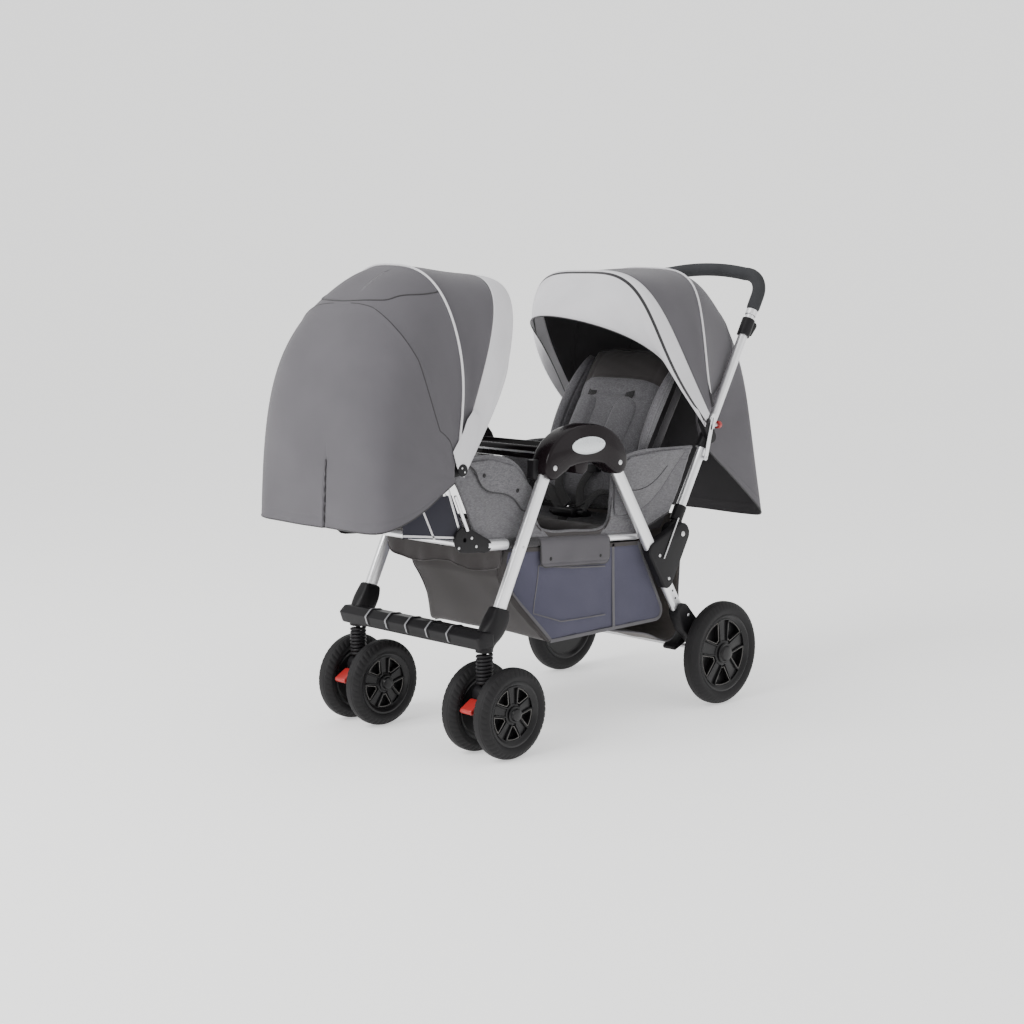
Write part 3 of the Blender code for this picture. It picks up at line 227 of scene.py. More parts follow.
def boxSection(width, height, edge, steps=3):
    # a rectangle with rounded corners, width along the first direction
    points = []
    for k, (sx, sy) in enumerate(((1, 1), (-1, 1), (-1, -1), (1, -1))):
        angle = math.pi / 2 * (k + np.arange(steps + 1) / steps)
        points.append(np.stack([sx * (width / 2 - edge) + edge * np.cos(angle),
                                sy * (height / 2 - edge) + edge * np.sin(angle)], 1))
    return np.concatenate(points)


def sweep(path, section, up=(0, 1, 0), closed=False, scale=None):
    # the section carried along the path: its first direction is across (path direction x up),
    # its second one is the part of up that is square to the path
    path = np.array(path, float)
    ahead = (np.roll(path, -1, 0) - np.roll(path, 1, 0)) if closed else np.gradient(path, axis=0)
    ahead /= np.linalg.norm(ahead, axis=1)[:, None]
    up = np.broadcast_to(np.array(up, float), path.shape)
    across = np.cross(ahead, up)
    across /= np.linalg.norm(across, axis=1)[:, None]
    lift = np.cross(across, ahead)
    section = np.array(section, float)
    if section.ndim == 2:
        section = np.broadcast_to(section, (len(path), *section.shape))
    if scale is not None:
        section = section * np.array(scale)[:, None, None]
    points = (path[:, None] + section[..., :1] * across[:, None] + section[..., 1:] * lift[:, None])
    rows, columns = points.shape[:2]
    faces = [tuple(face) for face in gridQuads(rows, columns, closed, True)]
    if not closed:
        faces.append(tuple(range(columns))[::-1])
        faces.append(tuple((rows - 1) * columns + k for k in range(columns)))
    run = runLength(path)
    around = runLength(section[0])
    uv = np.stack([np.repeat(run, columns), np.tile(around, rows)], 1)
    return points.reshape(-1, 3), [face[::-1] for face in faces], uv


def lathe(profile, centre, steps=64, axis="y", ripple=None):
    # a profile of (radius, height) turned about the axis; ripple may change radius by angle
    profile = np.array(profile, float)
    angle = 2 * math.pi * np.arange(steps)[:, None] / steps
    radius = np.broadcast_to(profile[None, :, 0], (steps, len(profile)))
    height = np.broadcast_to(profile[None, :, 1], (steps, len(profile)))
    if ripple is not None:
        radius = radius + ripple(angle, np.arange(len(profile))[None, :])
    a, b = radius * np.cos(angle), radius * np.sin(angle)
    parts = {"y": (a, height, b), "z": (a, b, height), "x": (height, a, b)}[axis]
    points = np.stack(parts, 2) + np.array(centre)
    faces = gridQuads(steps, len(profile), True, True)
    return points.reshape(-1, 3), faces


def tidyMesh(piece):
    # merges doubles and turns every face outwards
    bm = bmesh.new()
    bm.from_mesh(piece.data)
    bmesh.ops.remove_doubles(bm, verts=bm.verts, dist=1e-6)
    bmesh.ops.recalc_face_normals(bm, faces=bm.faces)
    bm.to_mesh(piece.data)
    bm.free()
    return piece


def addLathe(name, profile, centre, body, surface, steps=48, axis="y"):
    points, faces = lathe(profile, centre, steps, axis)
    return sharpen(tidyMesh(addMesh(name, points, faces, body, surface)))


def addSweep(name, path, section, body, surface, up=(0, 1, 0), closed=False, scale=None,
             angle=40):
    points, faces, uv = sweep(path, section, up, closed, scale)
    return sharpen(tidyMesh(addMesh(name, points, faces, body, surface, uv=uv)), angle)


def slab(name, outline, yFrom, yTo, body, surface, edge=0.001, steps=2):
    # a side-view outline given a thickness across the stroller, with rounded rims
    bm = bmesh.new()
    near = bm.faces.new([bm.verts.new((x + centring, yFrom, z)) for x, z in outline])
    made = bmesh.ops.extrude_face_region(bm, geom=[near])["geom"]
    bmesh.ops.translate(bm, verts=[v for v in made if isinstance(v, bmesh.types.BMVert)],
                        vec=(0, yTo - yFrom, 0))
    rims = [e for e in bm.edges if abs(e.verts[0].co.y - e.verts[1].co.y) < 1e-9]
    bmesh.ops.bevel(bm, geom=rims, offset=edge, segments=steps, profile=0.5, affect="EDGES")
    bmesh.ops.recalc_face_normals(bm, faces=bm.faces)
    mesh = bpy.data.meshes.new(name)
    bm.to_mesh(mesh)
    bm.free()
    mesh.materials.append(surface)
    mesh.shade_smooth()
    return sharpen(addObject(name, mesh, body))


def ring(centre, radius, steps=32):
    angle = 2 * math.pi * np.arange(steps) / steps
    return [(centre[0] + radius * math.cos(a), centre[1] + radius * math.sin(a)) for a in angle]


def domeProfile(radius, height, sign):
    # a low dome from its rim to its crown, closed 1 mm underneath
    dome = [(radius * math.cos(a), sign * height * math.sin(a)) for a in np.linspace(0, math.pi / 2, 6)]
    return [(0.0, -sign * 0.001), (radius, -sign * 0.001)] + dome


def rivet(name, spot, y, side, radius, height, body, surface):
    # a domed rivet head that sits on the face at y, pointing outwards
    return addLathe(name, domeProfile(radius, height, side), (spot[0], y, spot[1]), body, surface, 24)


def dressNode(name, surface, edge):
    # a CAD node's mesh with its doubles merged, flat faces joined and edges softened
    source = frame["nodes"][name]
    bm = bmesh.new()
    bm.from_mesh(source.data)
    bmesh.ops.remove_doubles(bm, verts=bm.verts, dist=2e-6)
    bmesh.ops.dissolve_limit(bm, angle_limit=math.radians(1.0), verts=bm.verts, edges=bm.edges)
    mesh = bpy.data.meshes.new(name + "_finished")
    bm.to_mesh(mesh)
    bm.free()
    mesh.materials.append(surface)
    mesh.shade_smooth()
    piece = addObject(name + "_finished", mesh, source["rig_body"])
    soft = piece.modifiers.new("edges", "BEVEL")
    soft.width = edge
    soft.segments = 2
    soft.limit_method = "ANGLE"
    soft.angle_limit = math.radians(30)
    soft.use_clamp_overlap = True
    soft.harden_normals = True
    sharpen(piece, 60)
    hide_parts(name)


# Materials


def makeNode(tree, kind, inputs=None, **settings):
    made = tree.nodes.new(kind)
    for key, value in settings.items():
        setattr(made, key, value)
    for key, value in (inputs or {}).items():
        if isinstance(value, bpy.types.NodeSocket):
            tree.links.new(value, made.inputs[key])
        else:
            made.inputs[key].default_value = value
    return made


def startMaterial(name, colour, roughness, metallic=0.0, sheen=0.0, coat=0.0, specular=0.5):
    made = bpy.data.materials.new(name)
    made.use_nodes = True
    tree = made.node_tree
    shader = tree.nodes["Principled BSDF"]
    shader.inputs["Base Color"].default_value = (*colour, 1)
    shader.inputs["Roughness"].default_value = roughness
    shader.inputs["Metallic"].default_value = metallic
    shader.inputs["Sheen Weight"].default_value = sheen
    shader.inputs["Sheen Roughness"].default_value = 0.45
    shader.inputs["Coat Weight"].default_value = coat
    shader.inputs["Coat Roughness"].default_value = 0.08
    shader.inputs["Specular IOR Level"].default_value = specular
    made.diffuse_color = (*colour, 1)
    return made, tree, shader


def placeOn(tree, useUv, scale=(1, 1, 1)):
    if useUv:
        source = makeNode(tree, "ShaderNodeUVMap", uv_map="cloth").outputs[0]
    else:
        source = makeNode(tree, "ShaderNodeTexCoord").outputs["Object"]
    return makeNode(tree, "ShaderNodeMapping", {"Vector": source, "Scale": scale}).outputs[0]


def ramp(tree, factor, stops):
    made = makeNode(tree, "ShaderNodeValToRGB", {"Fac": factor})
    band = made.color_ramp
    while len(band.elements) < len(stops):
        band.elements.new(0.5)
    for element, (spot, colour) in zip(band.elements, stops):
        element.position = spot
        element.color = (*colour, 1) if len(colour) == 3 else colour
    return made.outputs[0]


def maths(tree, operation, a, b=0.5):
    made = makeNode(tree, "ShaderNodeMath", operation=operation)
    for k, value in enumerate((a, b)):
        if isinstance(value, bpy.types.NodeSocket):
            tree.links.new(value, made.inputs[k])
        else:
            made.inputs[k].default_value = value
    return made.outputs[0]


def noise(tree, vector, scale, detail=2.0):
    return makeNode(tree, "ShaderNodeTexNoise", {"Vector": vector, "Scale": scale, "Detail": detail,
                                                 "Roughness": 0.5}).outputs[0]


def mixColour(tree, factor, a, b, blend="MIX"):
    made = makeNode(tree, "ShaderNodeMix", data_type="RGBA", blend_type=blend)
    sockets = [s for s in made.inputs if s.type == "RGBA"]
    for socket, value in ((made.inputs[0], factor), (sockets[0], a), (sockets[1], b)):
        if isinstance(value, bpy.types.NodeSocket):
            tree.links.new(value, socket)
        elif socket.type == "RGBA":
            socket.default_value = (*value, 1)
        else:
            socket.default_value = value
    return [s for s in made.outputs if s.type == "RGBA"][0]


def bump(tree, shader, height, strength, distance):
    made = makeNode(tree, "ShaderNodeBump", {"Height": height, "Strength": strength,
                                             "Distance": distance})
    tree.links.new(made.outputs[0], shader.inputs["Normal"])


def shade(colour, amount):
    return tuple(min(1.0, c * amount) for c in colour)


def clothMaterial(name, colour, threads, useUv=True, melange=0.0, sheen=0.25, relief=0.4,
                  contrast=0.10):
    # plain weave: two crossed waves of threads, flecks where fibres differ, and slow patches
    made, tree, shader = startMaterial(name, colour, 0.88, sheen=sheen, specular=0.25)
    spot = placeOn(tree, useUv)
    # the wave has one band a metre at a scale of 0.314
    scale = threads * 0.314
    waves = [makeNode(tree, "ShaderNodeTexWave", {"Vector": spot, "Scale": scale, "Distortion": 1.2,
                                                  "Detail Scale": 2.0},
                      wave_type="BANDS", bands_direction=way).outputs[1] for way in "XY"]
    weave = maths(tree, "MULTIPLY", *waves)
    slow = noise(tree, spot, 9.0, 3.0)
    colourOut = ramp(tree, weave, [(0.0, shade(colour, 1 - contrast)),
                                   (1.0, shade(colour, 1 + contrast))])
    if melange:
        alongX = placeOn(tree, useUv, (threads * 0.9, threads * 0.16, threads * 0.5))
        alongY = placeOn(tree, useUv, (threads * 0.16, threads * 0.9, threads * 0.5))
        fleck = maths(tree, "ADD", noise(tree, alongX, 1.0, 1.0), noise(tree, alongY, 1.0, 1.0))
        fleck = maths(tree, "MULTIPLY", fleck, 0.5)
        flecks = ramp(tree, fleck, [(0.36, shade(colour, 1 - melange)),
                                    (0.50, colour), (0.64, shade(colour, 1 + melange * 1.4))])
        colourOut = mixColour(tree, 0.85, colourOut, flecks)
    dull = ramp(tree, slow, [(0.30, (0.88,) * 3), (0.70, (1.0,) * 3)])
    colourOut = mixColour(tree, 1.0, colourOut, dull, "MULTIPLY")
    tree.links.new(colourOut, shader.inputs["Base Color"])
    bump(tree, shader, weave, relief, 0.0006)
    return made


def metalMaterial(name, colour, roughness, metallic=1.0, grain=(40, 40, 900)):
    # drawn metal: long fine scratches, and a little change of polish
    made, tree, shader = startMaterial(name, colour, roughness, metallic)
    drawn = noise(tree, placeOn(tree, False, grain), 1.0, 3.0)
    slow = noise(tree, placeOn(tree, False), 22.0, 3.0)
    polish = maths(tree, "ADD", maths(tree, "MULTIPLY", drawn, 0.16), roughness - 0.12)
    polish = maths(tree, "ADD", polish, maths(tree, "MULTIPLY", slow, 0.08))
    tree.links.new(polish, shader.inputs["Roughness"])
    tone = ramp(tree, slow, [(0.25, shade(colour, 0.95)), (0.75, shade(colour, 1.02))])
    tree.links.new(tone, shader.inputs["Base Color"])
    bump(tree, shader, drawn, 0.10, 0.0002)
    return made


def plasticMaterial(name, colour, roughness, coat=0.0, grain=1400, relief=0.18, worn=1.8):
    # moulded plastic: fine spark grain, slow change of polish, paler rubbed edges
    made, tree, shader = startMaterial(name, colour, roughness, coat=coat)
    spot = placeOn(tree, False)
    fine = noise(tree, spot, grain, 2.0)
    slow = noise(tree, spot, 28.0, 3.0)
    edge = makeNode(tree, "ShaderNodeNewGeometry").outputs["Pointiness"]
    rubbed = ramp(tree, edge, [(0.50, (0, 0, 0)), (0.56, (1, 1, 1))])
    rubbed = maths(tree, "MULTIPLY", rubbed, maths(tree, "MULTIPLY", slow, 0.7))
    tone = mixColour(tree, rubbed, colour, shade(colour, worn))
    tree.links.new(tone, shader.inputs["Base Color"])
    polish = maths(tree, "ADD", maths(tree, "MULTIPLY", slow, 0.14), roughness - 0.07)
    tree.links.new(polish, shader.inputs["Roughness"])
    bump(tree, shader, fine, relief, 0.0002)
    return made


def rubberMaterial(name, colour, roughness, grain=900, relief=0.3):
    # rubber or foam: soft grain, and slow patches of paler and darker tone
    made, tree, shader = startMaterial(name, colour, roughness, specular=0.35)
    spot = placeOn(tree, False)
    fine = noise(tree, spot, grain, 3.0)
    slow = noise(tree, spot, 14.0, 4.0)
    tone = ramp(tree, slow, [(0.35, shade(colour, 0.85)), (0.70, shade(colour, 1.25))])
    tree.links.new(tone, shader.inputs["Base Color"])
    polish = maths(tree, "ADD", maths(tree, "MULTIPLY", slow, 0.2), roughness - 0.1)
    tree.links.new(polish, shader.inputs["Roughness"])
    bump(tree, shader, fine, relief, 0.0004)
    return made


def meshMaterial(name, colour):
    # open mesh: round holes in staggered rows, painted dark where they go through: painted shade for the
    # dim inside seen through them
    made, tree, shader = startMaterial(name, colour, 0.85, sheen=0.2, specular=0.25)
    spot = placeOn(tree, True)
    holes = makeNode(tree, "ShaderNodeTexVoronoi", {"Vector": spot, "Scale": 520,
                                                    "Randomness": 0.12}).outputs["Distance"]
    slow = noise(tree, spot, 12.0, 3.0)
    tone = ramp(tree, holes, [(0.20, shade(colour, 0.28)), (0.38, shade(colour, 1.15))])
    dull = ramp(tree, slow, [(0.3, (0.86,) * 3), (0.7, (1.0,) * 3)])
    tone = mixColour(tree, 1.0, tone, dull, "MULTIPLY")
    tree.links.new(tone, shader.inputs["Base Color"])
    bump(tree, shader, holes, 0.5, 0.0008)
    return made


print("stage: materials")
tones = {
    "cover": (0.104, 0.099, 0.109), "visor": (0.70, 0.69, 0.715), "piping": (0.70, 0.69, 0.71),
    "seat": (0.132, 0.129, 0.138), "lining": (0.040, 0.038, 0.041), "taupe": (0.060, 0.054, 0.054),
    "blueMesh": (0.080, 0.078, 0.116), "binding": (0.042, 0.040, 0.043),
    "webbing": (0.030, 0.029, 0.030),
    "trim": (0.120, 0.116, 0.126), "silver": (0.90, 0.90, 0.915), "steel": (0.66, 0.66, 0.67),
    "hub": (0.0085, 0.0058, 0.0070), "black": (0.0090, 0.0085, 0.0095), "rim": (0.0075, 0.0072, 0.0078),
    "tyre": (0.0125, 0.0120, 0.0128), "foam": (0.033, 0.034, 0.037), "red": (0.36, 0.020, 0.018),
    "badge": (0.74, 0.77, 0.79), "edge": (0.20, 0.20, 0.21), "window": (0.11, 0.105, 0.10),
    "sling": (0.115, 0.102, 0.096),
}
coverCloth = clothMaterial("canopy cloth", tones["cover"], 950, sheen=0.18, relief=0.25,
                           contrast=0.05)
visorCloth = clothMaterial("visor cloth", tones["visor"], 950, sheen=0.15, relief=0.25,
                           contrast=0.03)
pipingCloth = clothMaterial("piping", tones["piping"], 1200, relief=0.3)
liningCloth = clothMaterial("dark lining", tones["lining"], 900, sheen=0.05, relief=0.2)
seatCloth = clothMaterial("heather cloth", tones["seat"], 880, melange=0.30, relief=0.6, sheen=0.3)
padCloth = clothMaterial("heather pad cloth", tones["seat"], 880, useUv=False, melange=0.30,
                         relief=0.6, sheen=0.3)
taupeCloth = clothMaterial("taupe cloth", tones["taupe"], 800, sheen=0.2, relief=0.3)
# the sling is the taupe cloth painted about twice as light: painted light that lifts it out of the shade
# under the seat
slingPaintedLightCloth = clothMaterial("sling cloth painted light", tones["sling"], 800, sheen=0.2, relief=0.3)
bindingCloth = clothMaterial("dark binding", tones["binding"], 1100, relief=0.4)
trimCloth = clothMaterial("grey trim", tones["trim"], 900, relief=0.4)
webbingCloth = clothMaterial("webbing", tones["webbing"], 700, relief=0.8, contrast=0.25)
basketMesh = meshMaterial("basket mesh", tones["blueMesh"])
silverMetal = metalMaterial("anodised aluminium", tones["silver"], 0.34, 0.85)
steelMetal = metalMaterial("zinc steel", tones["steel"], 0.30)
badgeMetal = metalMaterial("satin badge", tones["badge"], 0.28, 0.55, (60, 60, 60))
hubPlastic = plasticMaterial("gloss hub", tones["hub"], 0.22, coat=0.10, grain=300, relief=0.03,
                             worn=1.5)
blackPlastic = plasticMaterial("black plastic", tones["black"], 0.42)
rimPlastic = plasticMaterial("rim plastic", tones["rim"], 0.30, grain=900, relief=0.08)
# pale plastic for the footrest ridge crests: painted highlight where each ridge catches the light
ridgeHighlightPlastic = plasticMaterial("ridge painted highlight", tones["edge"], 0.24, relief=0.03)
# pale plastic for a line in each wheel window: painted highlight
windowHighlightPlastic = plasticMaterial("window painted highlight", tones["window"], 0.20, relief=0.03)
redPlastic = plasticMaterial("red plastic", tones["red"], 0.36, relief=0.08, worn=1.2)
tyreRubber = rubberMaterial("tyre rubber", tones["tyre"], 0.62)
gripFoam = rubberMaterial("grip foam", tones["foam"], 0.92, 1600, 0.5)
# blacks reflect little of the pale room
for made, level in ((hubPlastic, 0.13), (blackPlastic, 0.18), (rimPlastic, 0.30), (tyreRubber, 0.22)):
    shader = next(node for node in made.node_tree.nodes if node.type == "BSDF_PRINCIPLED")
    shader.inputs["Specular IOR Level"].default_value = level

# Hoods

print("stage: hoods")
seatHalf = 0.2002
frontTop = alongLine((-0.412, 0.455), math.radians(110), 0.375)
rearTop = alongLine((0.104, 0.4058), math.radians(58), 0.460)


def over(top, ahead, above):
    return (top[0] + ahead, top[1] + above)


frontFoot, rearFoot = (-0.437, 0.600), (0.340, 0.652)
drapeHalf = 0.180 - 0.011 - 0.0045 - 0.0003
# each hoop is (foot, crown, half width, bow, squareness)
frontHood = {
    "hoops": [
        (over(frontFoot, 0.011, -0.015), over(frontTop, 0.316, 0.055), seatHalf + 0.0028, 0.004, 3.4),
        (over(frontFoot, 0.007, -0.008), over(frontTop, 0.328, 0.164), seatHalf + 0.0034, 0.008, 3.4),
        (over(frontFoot, -0.004, 0.022), over(frontTop, 0.266, 0.180), seatHalf + 0.0043, 0.005, 3.4),
        (over(frontFoot, -0.009, 0.032), over(frontTop, 0.104, 0.195), seatHalf + 0.0068, -0.016, 2.7),
        (over(frontFoot, -0.015, 0.012), over(frontTop, -0.043, 0.100), seatHalf + 0.0068, -0.015, 3.2),
        (over(frontFoot, -0.013, -0.022), over(frontTop, -0.105, -0.319), seatHalf + 0.0058, 0.011, 10.0),
    ],
    "sag": (0.0, 0.0, 0.0035, 0.002, 0.0), "slit": (4.683, 0.435, 0.092), "body": "front_back",
    "visorBody": "front_hood", "step": -0.0008, "bindingSpan": (0.0, 0.0), "wires": (3.0, 4.0),
    "outward": 1, "tucked": (0.518, 0.855, 0.72),
}
rearHood = {
    "hoops": [
        (over(rearFoot, -0.008, -0.012), over(rearTop, -0.330, 0.097), seatHalf + 0.0028, -0.043, 2.0),
        (over(rearFoot, -0.004, -0.004), over(rearTop, -0.213, 0.193), seatHalf + 0.0034, 0.036, 3.8),
        (over(rearFoot, 0.006, 0.016), over(rearTop, -0.196, 0.198), seatHalf + 0.0043, 0.010, 3.9),
        (over(rearFoot, 0.011, 0.030), over(rearTop, 0.008, 0.200), seatHalf + 0.0053, 0.028, 3.2),
        (over(rearFoot, 0.021, 0.027), over(rearTop, 0.144, 0.104), drapeHalf, -0.040, 4.3),
        (over(rearFoot, 0.024, -0.052), over(rearTop, 0.278, -0.395), drapeHalf, 0.0, 13.0),
    ],
    "sag": (0.0, 0.0, 0.0035, 0.002, 0.0), "slit": None, "body": "handle",
    "visorBody": "rear_hood", "step": 0.0008, "bindingSpan": (0.93, 1.10), "wires": (3.0, 4.0),
    "outward": -1, "tucked": (-0.087, 0.996, 0.50),
}


def hoopCurve(foot, crown, half, bow, square, count):
    # a superellipse arch: sin and cos to the power 2/square, up the foot-crown line and across,
    # with its middle pushed off that line by bow x sin(pi x height share)
    phi = np.linspace(0, math.pi, 481)
    level = np.sin(phi) ** (2 / square)
    across = -signedPower(np.cos(phi), 2 / square) * half
    chord = np.array(crown) - np.array(foot)
    normal = np.array((-chord[1], chord[0])) / np.linalg.norm(chord)
    line = np.array(foot) + chord * level[:, None] + normal * (bow * np.sin(math.pi * level))[:, None]
    return evenly(np.stack([line[:, 0], across, line[:, 1]], 1), count)


def densely(edges, count, spots, reach):
    # count even steps between the edges, with extra samples close to each spot
    extra = [spot + reach * t for spot in spots for t in (-1, -0.6, -0.3, -0.12, 0, 0.12, 0.3, 0.6, 1)]
    both = np.r_[np.linspace(*edges, count), [e for e in extra if edges[0] < e < edges[1]]]
    both = np.unique(np.round(both, 6))
    return both[np.r_[True, np.diff(both) > 1e-5]]


def surfaceNormals(grid):
    du, dv = np.gradient(grid, axis=0), np.gradient(grid, axis=1)
    normal = np.cross(dv, du)
    return normal / np.maximum(np.linalg.norm(normal, axis=2), 1e-12)[..., None]


def hoodGrid(hood, us, vs):
    # natural cubic between the hoops at u = 0..5; v runs from the left foot to the right one.
    # The cloth is drawn in between wires, lifts over each wire, and puckers near its feet.
    curves = np.stack([hoopCurve(*hoop, 241) for hoop in hood["hoops"]])
    apart = np.linalg.norm(np.diff(curves, axis=0), axis=2).mean(axis=1)
    knots = np.r_[0, np.cumsum(apart)]
    samples = np.interp(us, np.arange(6), knots)
    base = np.einsum("rk,kmc->rmc", splineWeights(knots, samples), curves)
    column = np.linspace(0, 1, 241)
    spot = np.clip(np.searchsorted(column, vs) - 1, 0, 239)
    share = ((vs - column[spot]) / (column[spot + 1] - column[spot]))[None, :, None]
    grid = base[:, spot] * (1 - share) + base[:, spot + 1] * share
    normal = surfaceNormals(grid) * hood["outward"]
    u, v = us[:, None], vs[None, :]
    share = np.clip(u - np.floor(u), 0, 1)
    sag = np.array(hood["sag"] + (0.0,))[np.clip(np.floor(us).astype(int), 0, 5)][:, None]
    away = 1 - np.abs(2 * v - 1) ** 6
    move = -sag * np.sin(math.pi * share) ** 1.5 * away
    for wire in hood["wires"]:
        bend = 0.0 if wire < 4 else -0.16 + 0.31 * ramped(0.40 - np.minimum(v, 1 - v), 0.30)
        move = move + 0.0017 * bell(u - wire - bend, 0.040) * away
    foot = np.exp(-np.minimum(v, 1 - v) / 0.05)
    low = ramped(u - 2.0, 3.0)
    move = move + 0.0012 * foot * np.sin(u * 9 + v * 40) * low
    move = move + 0.0016 * np.clip(u - 4.1, 0, 1) * np.sin(v * 17.0 + u * 2.2) * np.sin(math.pi * v)
    move = move + 0.0009 * np.clip(u - 2.0, 0, 1) * np.sin(v * 31.0 - u * 3.1) * np.sin(math.pi * v)
    if hood["slit"]:
        top, centre, slope = hood["slit"]
        centre = centre + slope * (u - top)
        opened = ramped(u - top, 0.20)
        step = np.tanh((v - centre) / 0.0022)
        move = move + opened * 0.0022 * step * np.exp(-np.abs(v - centre) / 0.03)
        move = move - opened ** 0.5 * 0.0055 * bell(v - centre, 0.0018)
    edge = np.clip(np.abs(u - 4.955) / 0.006, 0, 1)
    move = move - 0.0007 * (1 - edge) * away
    return grid + normal * move[..., None]


def clothUv(grid):
    # lengths along the rows and down the middle, in metres
    down = runLength(grid[:, grid.shape[1] // 2])
    across = np.stack([runLength(row) for row in grid])
    across = across - across[:, -1:] / 2
    return np.stack([across.ravel(), np.repeat(down, grid.shape[1])], 1)


def addSheet(name, grid, body, surfaces, thickness, offset=-1.0, inner=0, faceSurface=None,
             flip=False):
    # a grid of points as cloth this thick; inner says which material its inner side takes
    piece = addMesh(name, grid, gridQuads(*grid.shape[:2]), body, surfaces, clothUv(grid),
                    faceSurface, flip)
    wall = piece.modifiers.new("wall", "SOLIDIFY")
    wall.thickness, wall.offset, wall.material_offset = thickness, offset, inner
    return piece


def surfaceLine(hood, us, vs, lift):
    # points on the hood's surface, each at its own u and v, lifted off along the normal
    fineU, fineV = np.linspace(0, 5, 401), np.linspace(0, 1, 241)
    if "fine" not in hood:
        hood["fine"] = hoodGrid(hood, fineU, fineV)
        hood["fineNormal"] = surfaceNormals(hood["fine"]) * hood["outward"]
    i = np.clip(np.array(us) * 80, 0, 399.999)
    j = np.clip(np.array(vs) * 240, 0, 239.999)
    i0, j0 = i.astype(int), j.astype(int)
    a, b = (i - i0)[:, None], (j - j0)[:, None]

    def blended(grid):
        return ((grid[i0, j0] * (1 - b) + grid[i0, j0 + 1] * b) * (1 - a)
                + (grid[i0 + 1, j0] * (1 - b) + grid[i0 + 1, j0 + 1] * b) * a)

    normal = blended(hood["fineNormal"])
    normal /= np.linalg.norm(normal, axis=1)[:, None]
    return blended(hood["fine"]) + normal * lift, normal


def hoodSheet(name, hood, us, body, surfaces, columns=121, rowSurface=None, move=(0, 0, 0)):
    spots = []
    if hood["slit"] and us[-1] > 4.5:
        spots = [hood["slit"][1] + 0.0075 * k for k in range(5)]
    vs = densely((0, 1), columns, spots, 0.012)
    grid = hoodGrid(hood, us, vs) + np.array(move)
    index = None
    if rowSurface:
        index = np.repeat([rowSurface((a + b) / 2) for a, b in zip(us, us[1:])], len(vs) - 1)
    piece = addSheet(name, grid, body, surfaces, 0.0018, inner=0 if rowSurface else len(surfaces) - 1,
                     faceSurface=index, flip=hood["outward"] < 0)
    return piece, grid


def tuck(piece):
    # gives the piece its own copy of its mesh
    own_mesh(piece)


def buildHood(prefix, hood, drapeNode):
    first, last = hood["bindingSpan"]
    visor, visorGrid = hoodSheet(prefix + "_visor_cloth", hood,
                                 densely((0, 2), 33, [first, last, 1.0], 0.05), hood["visorBody"],
                                 [visorCloth, bindingCloth], 121,
                                 lambda u: int(first < u < last or
                                               bool(last and (u > 1.985 or u < 0.02))))
    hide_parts(prefix + "_visor")
    tuck(visor)
    lastHoop, rows = (4, 41) if drapeNode else (5, 61)
    upper = densely((2, lastHoop), rows, [3.0, 3.84, 4.0, 4.15, 4.955], 0.06)
    cover, coverGrid = hoodSheet(prefix + "_cover_cloth", hood, upper, hood["body"],
                                 [coverCloth, liningCloth], 145, None, (hood["step"], 0, 0))
    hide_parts(prefix + "_cover")
    drape, drapeGrid = None, None
    if drapeNode:
        drape, drapeGrid = hoodSheet(prefix + "_drape_cloth", hood, densely((3.99, 5), 41, [4.955], 0.06),
                                     hood["body"], [coverCloth, liningCloth], 145, None,
                                     (hood["step"] + 0.0004, 0, -0.0006))
        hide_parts(drapeNode)
    vs = np.linspace(0.004, 0.996, 181)
    line, up = surfaceLine(hood, np.full(181, 3.0), vs, 0.0012)
    piping = addSweep(prefix + "_piping", line + (hood["step"], 0, 0), roundSection(0.0024, 10),
                      hood["body"], pipingCloth, up=up)
    rims = []
    for tag, u, radius, body in (("front", 0.0, 0.0013, hood["visorBody"]),
                                 ("hem", 5.0, 0.0016, hood["body"])):
        line, up = surfaceLine(hood, np.full(181, u), vs, -0.0009)
        rim = addSweep(f"{prefix}_{tag}_rim", line + (0 if tag == "front" else hood["step"], 0, 0),
                       roundSection(radius, 8), body,
                       visorCloth if tag == "front" and not last else bindingCloth, up=up)
        rims.append(rim)
    tuck(rims[0])
    return visor, visorGrid, cover, coverGrid, drape, drapeGrid, piping, rims


frontParts = buildHood("front_hood", frontHood, None)
rearParts = buildHood("rear_hood", rearHood, "rear_hood_drape")


def hoodCord(name, us, vs, lift, section, surface):
    # a cord sewn on the front hood's cover, through the points (u, v)
    line, up = surfaceLine(frontHood, us, vs, lift)
    return addSweep("front_hood_" + name, line + (frontHood["step"], 0, 0), section, "front_back",
                    surface, up=up)


# the top panel's seam on the front hood runs round the back of the crown between the pipings
seamHalf = [(0.343, 3.0), (0.3525, 3.267), (0.380, 3.55), (0.425, 3.75), (0.4825, 3.80)]
seamBoth = smoothLine(seamHalf + [(1 - v, u) for v, u in seamHalf[::-1]], 121)
seamV, seamU = seamBoth[:, 0], seamBoth[:, 1]
crownSeam = hoodCord("crown_seam", seamU, seamV, 0.0002, roundSection(0.0017, 8, 0.7), bindingCloth)

slitTop, slitCentre, slitSlope = frontHood["slit"]
# a dark cord along the slit: painted shade standing for the gap between its two lapped edges
slitU = np.linspace(4.69, 4.99, 40)
slitShadeCord = hoodCord("slit", slitU, slitCentre + slitSlope * (slitU - slitTop), 0.0016,
                    roundSection(0.0013, 8), liningCloth)

alongV = np.linspace(0.032, 0.47, 110)
alongU = 3.84 + 0.31 * ramped(0.40 - alongV, 0.30) - 0.22 * ramped(0.10 - alongV, 0.07)
creases = [hoodCord(f"crease_{side}", alongU, vs, -0.0001, roundSection(0.0011, 8, 0.7), bindingCloth)
           for side, vs in enumerate((alongV, 1 - alongV))]

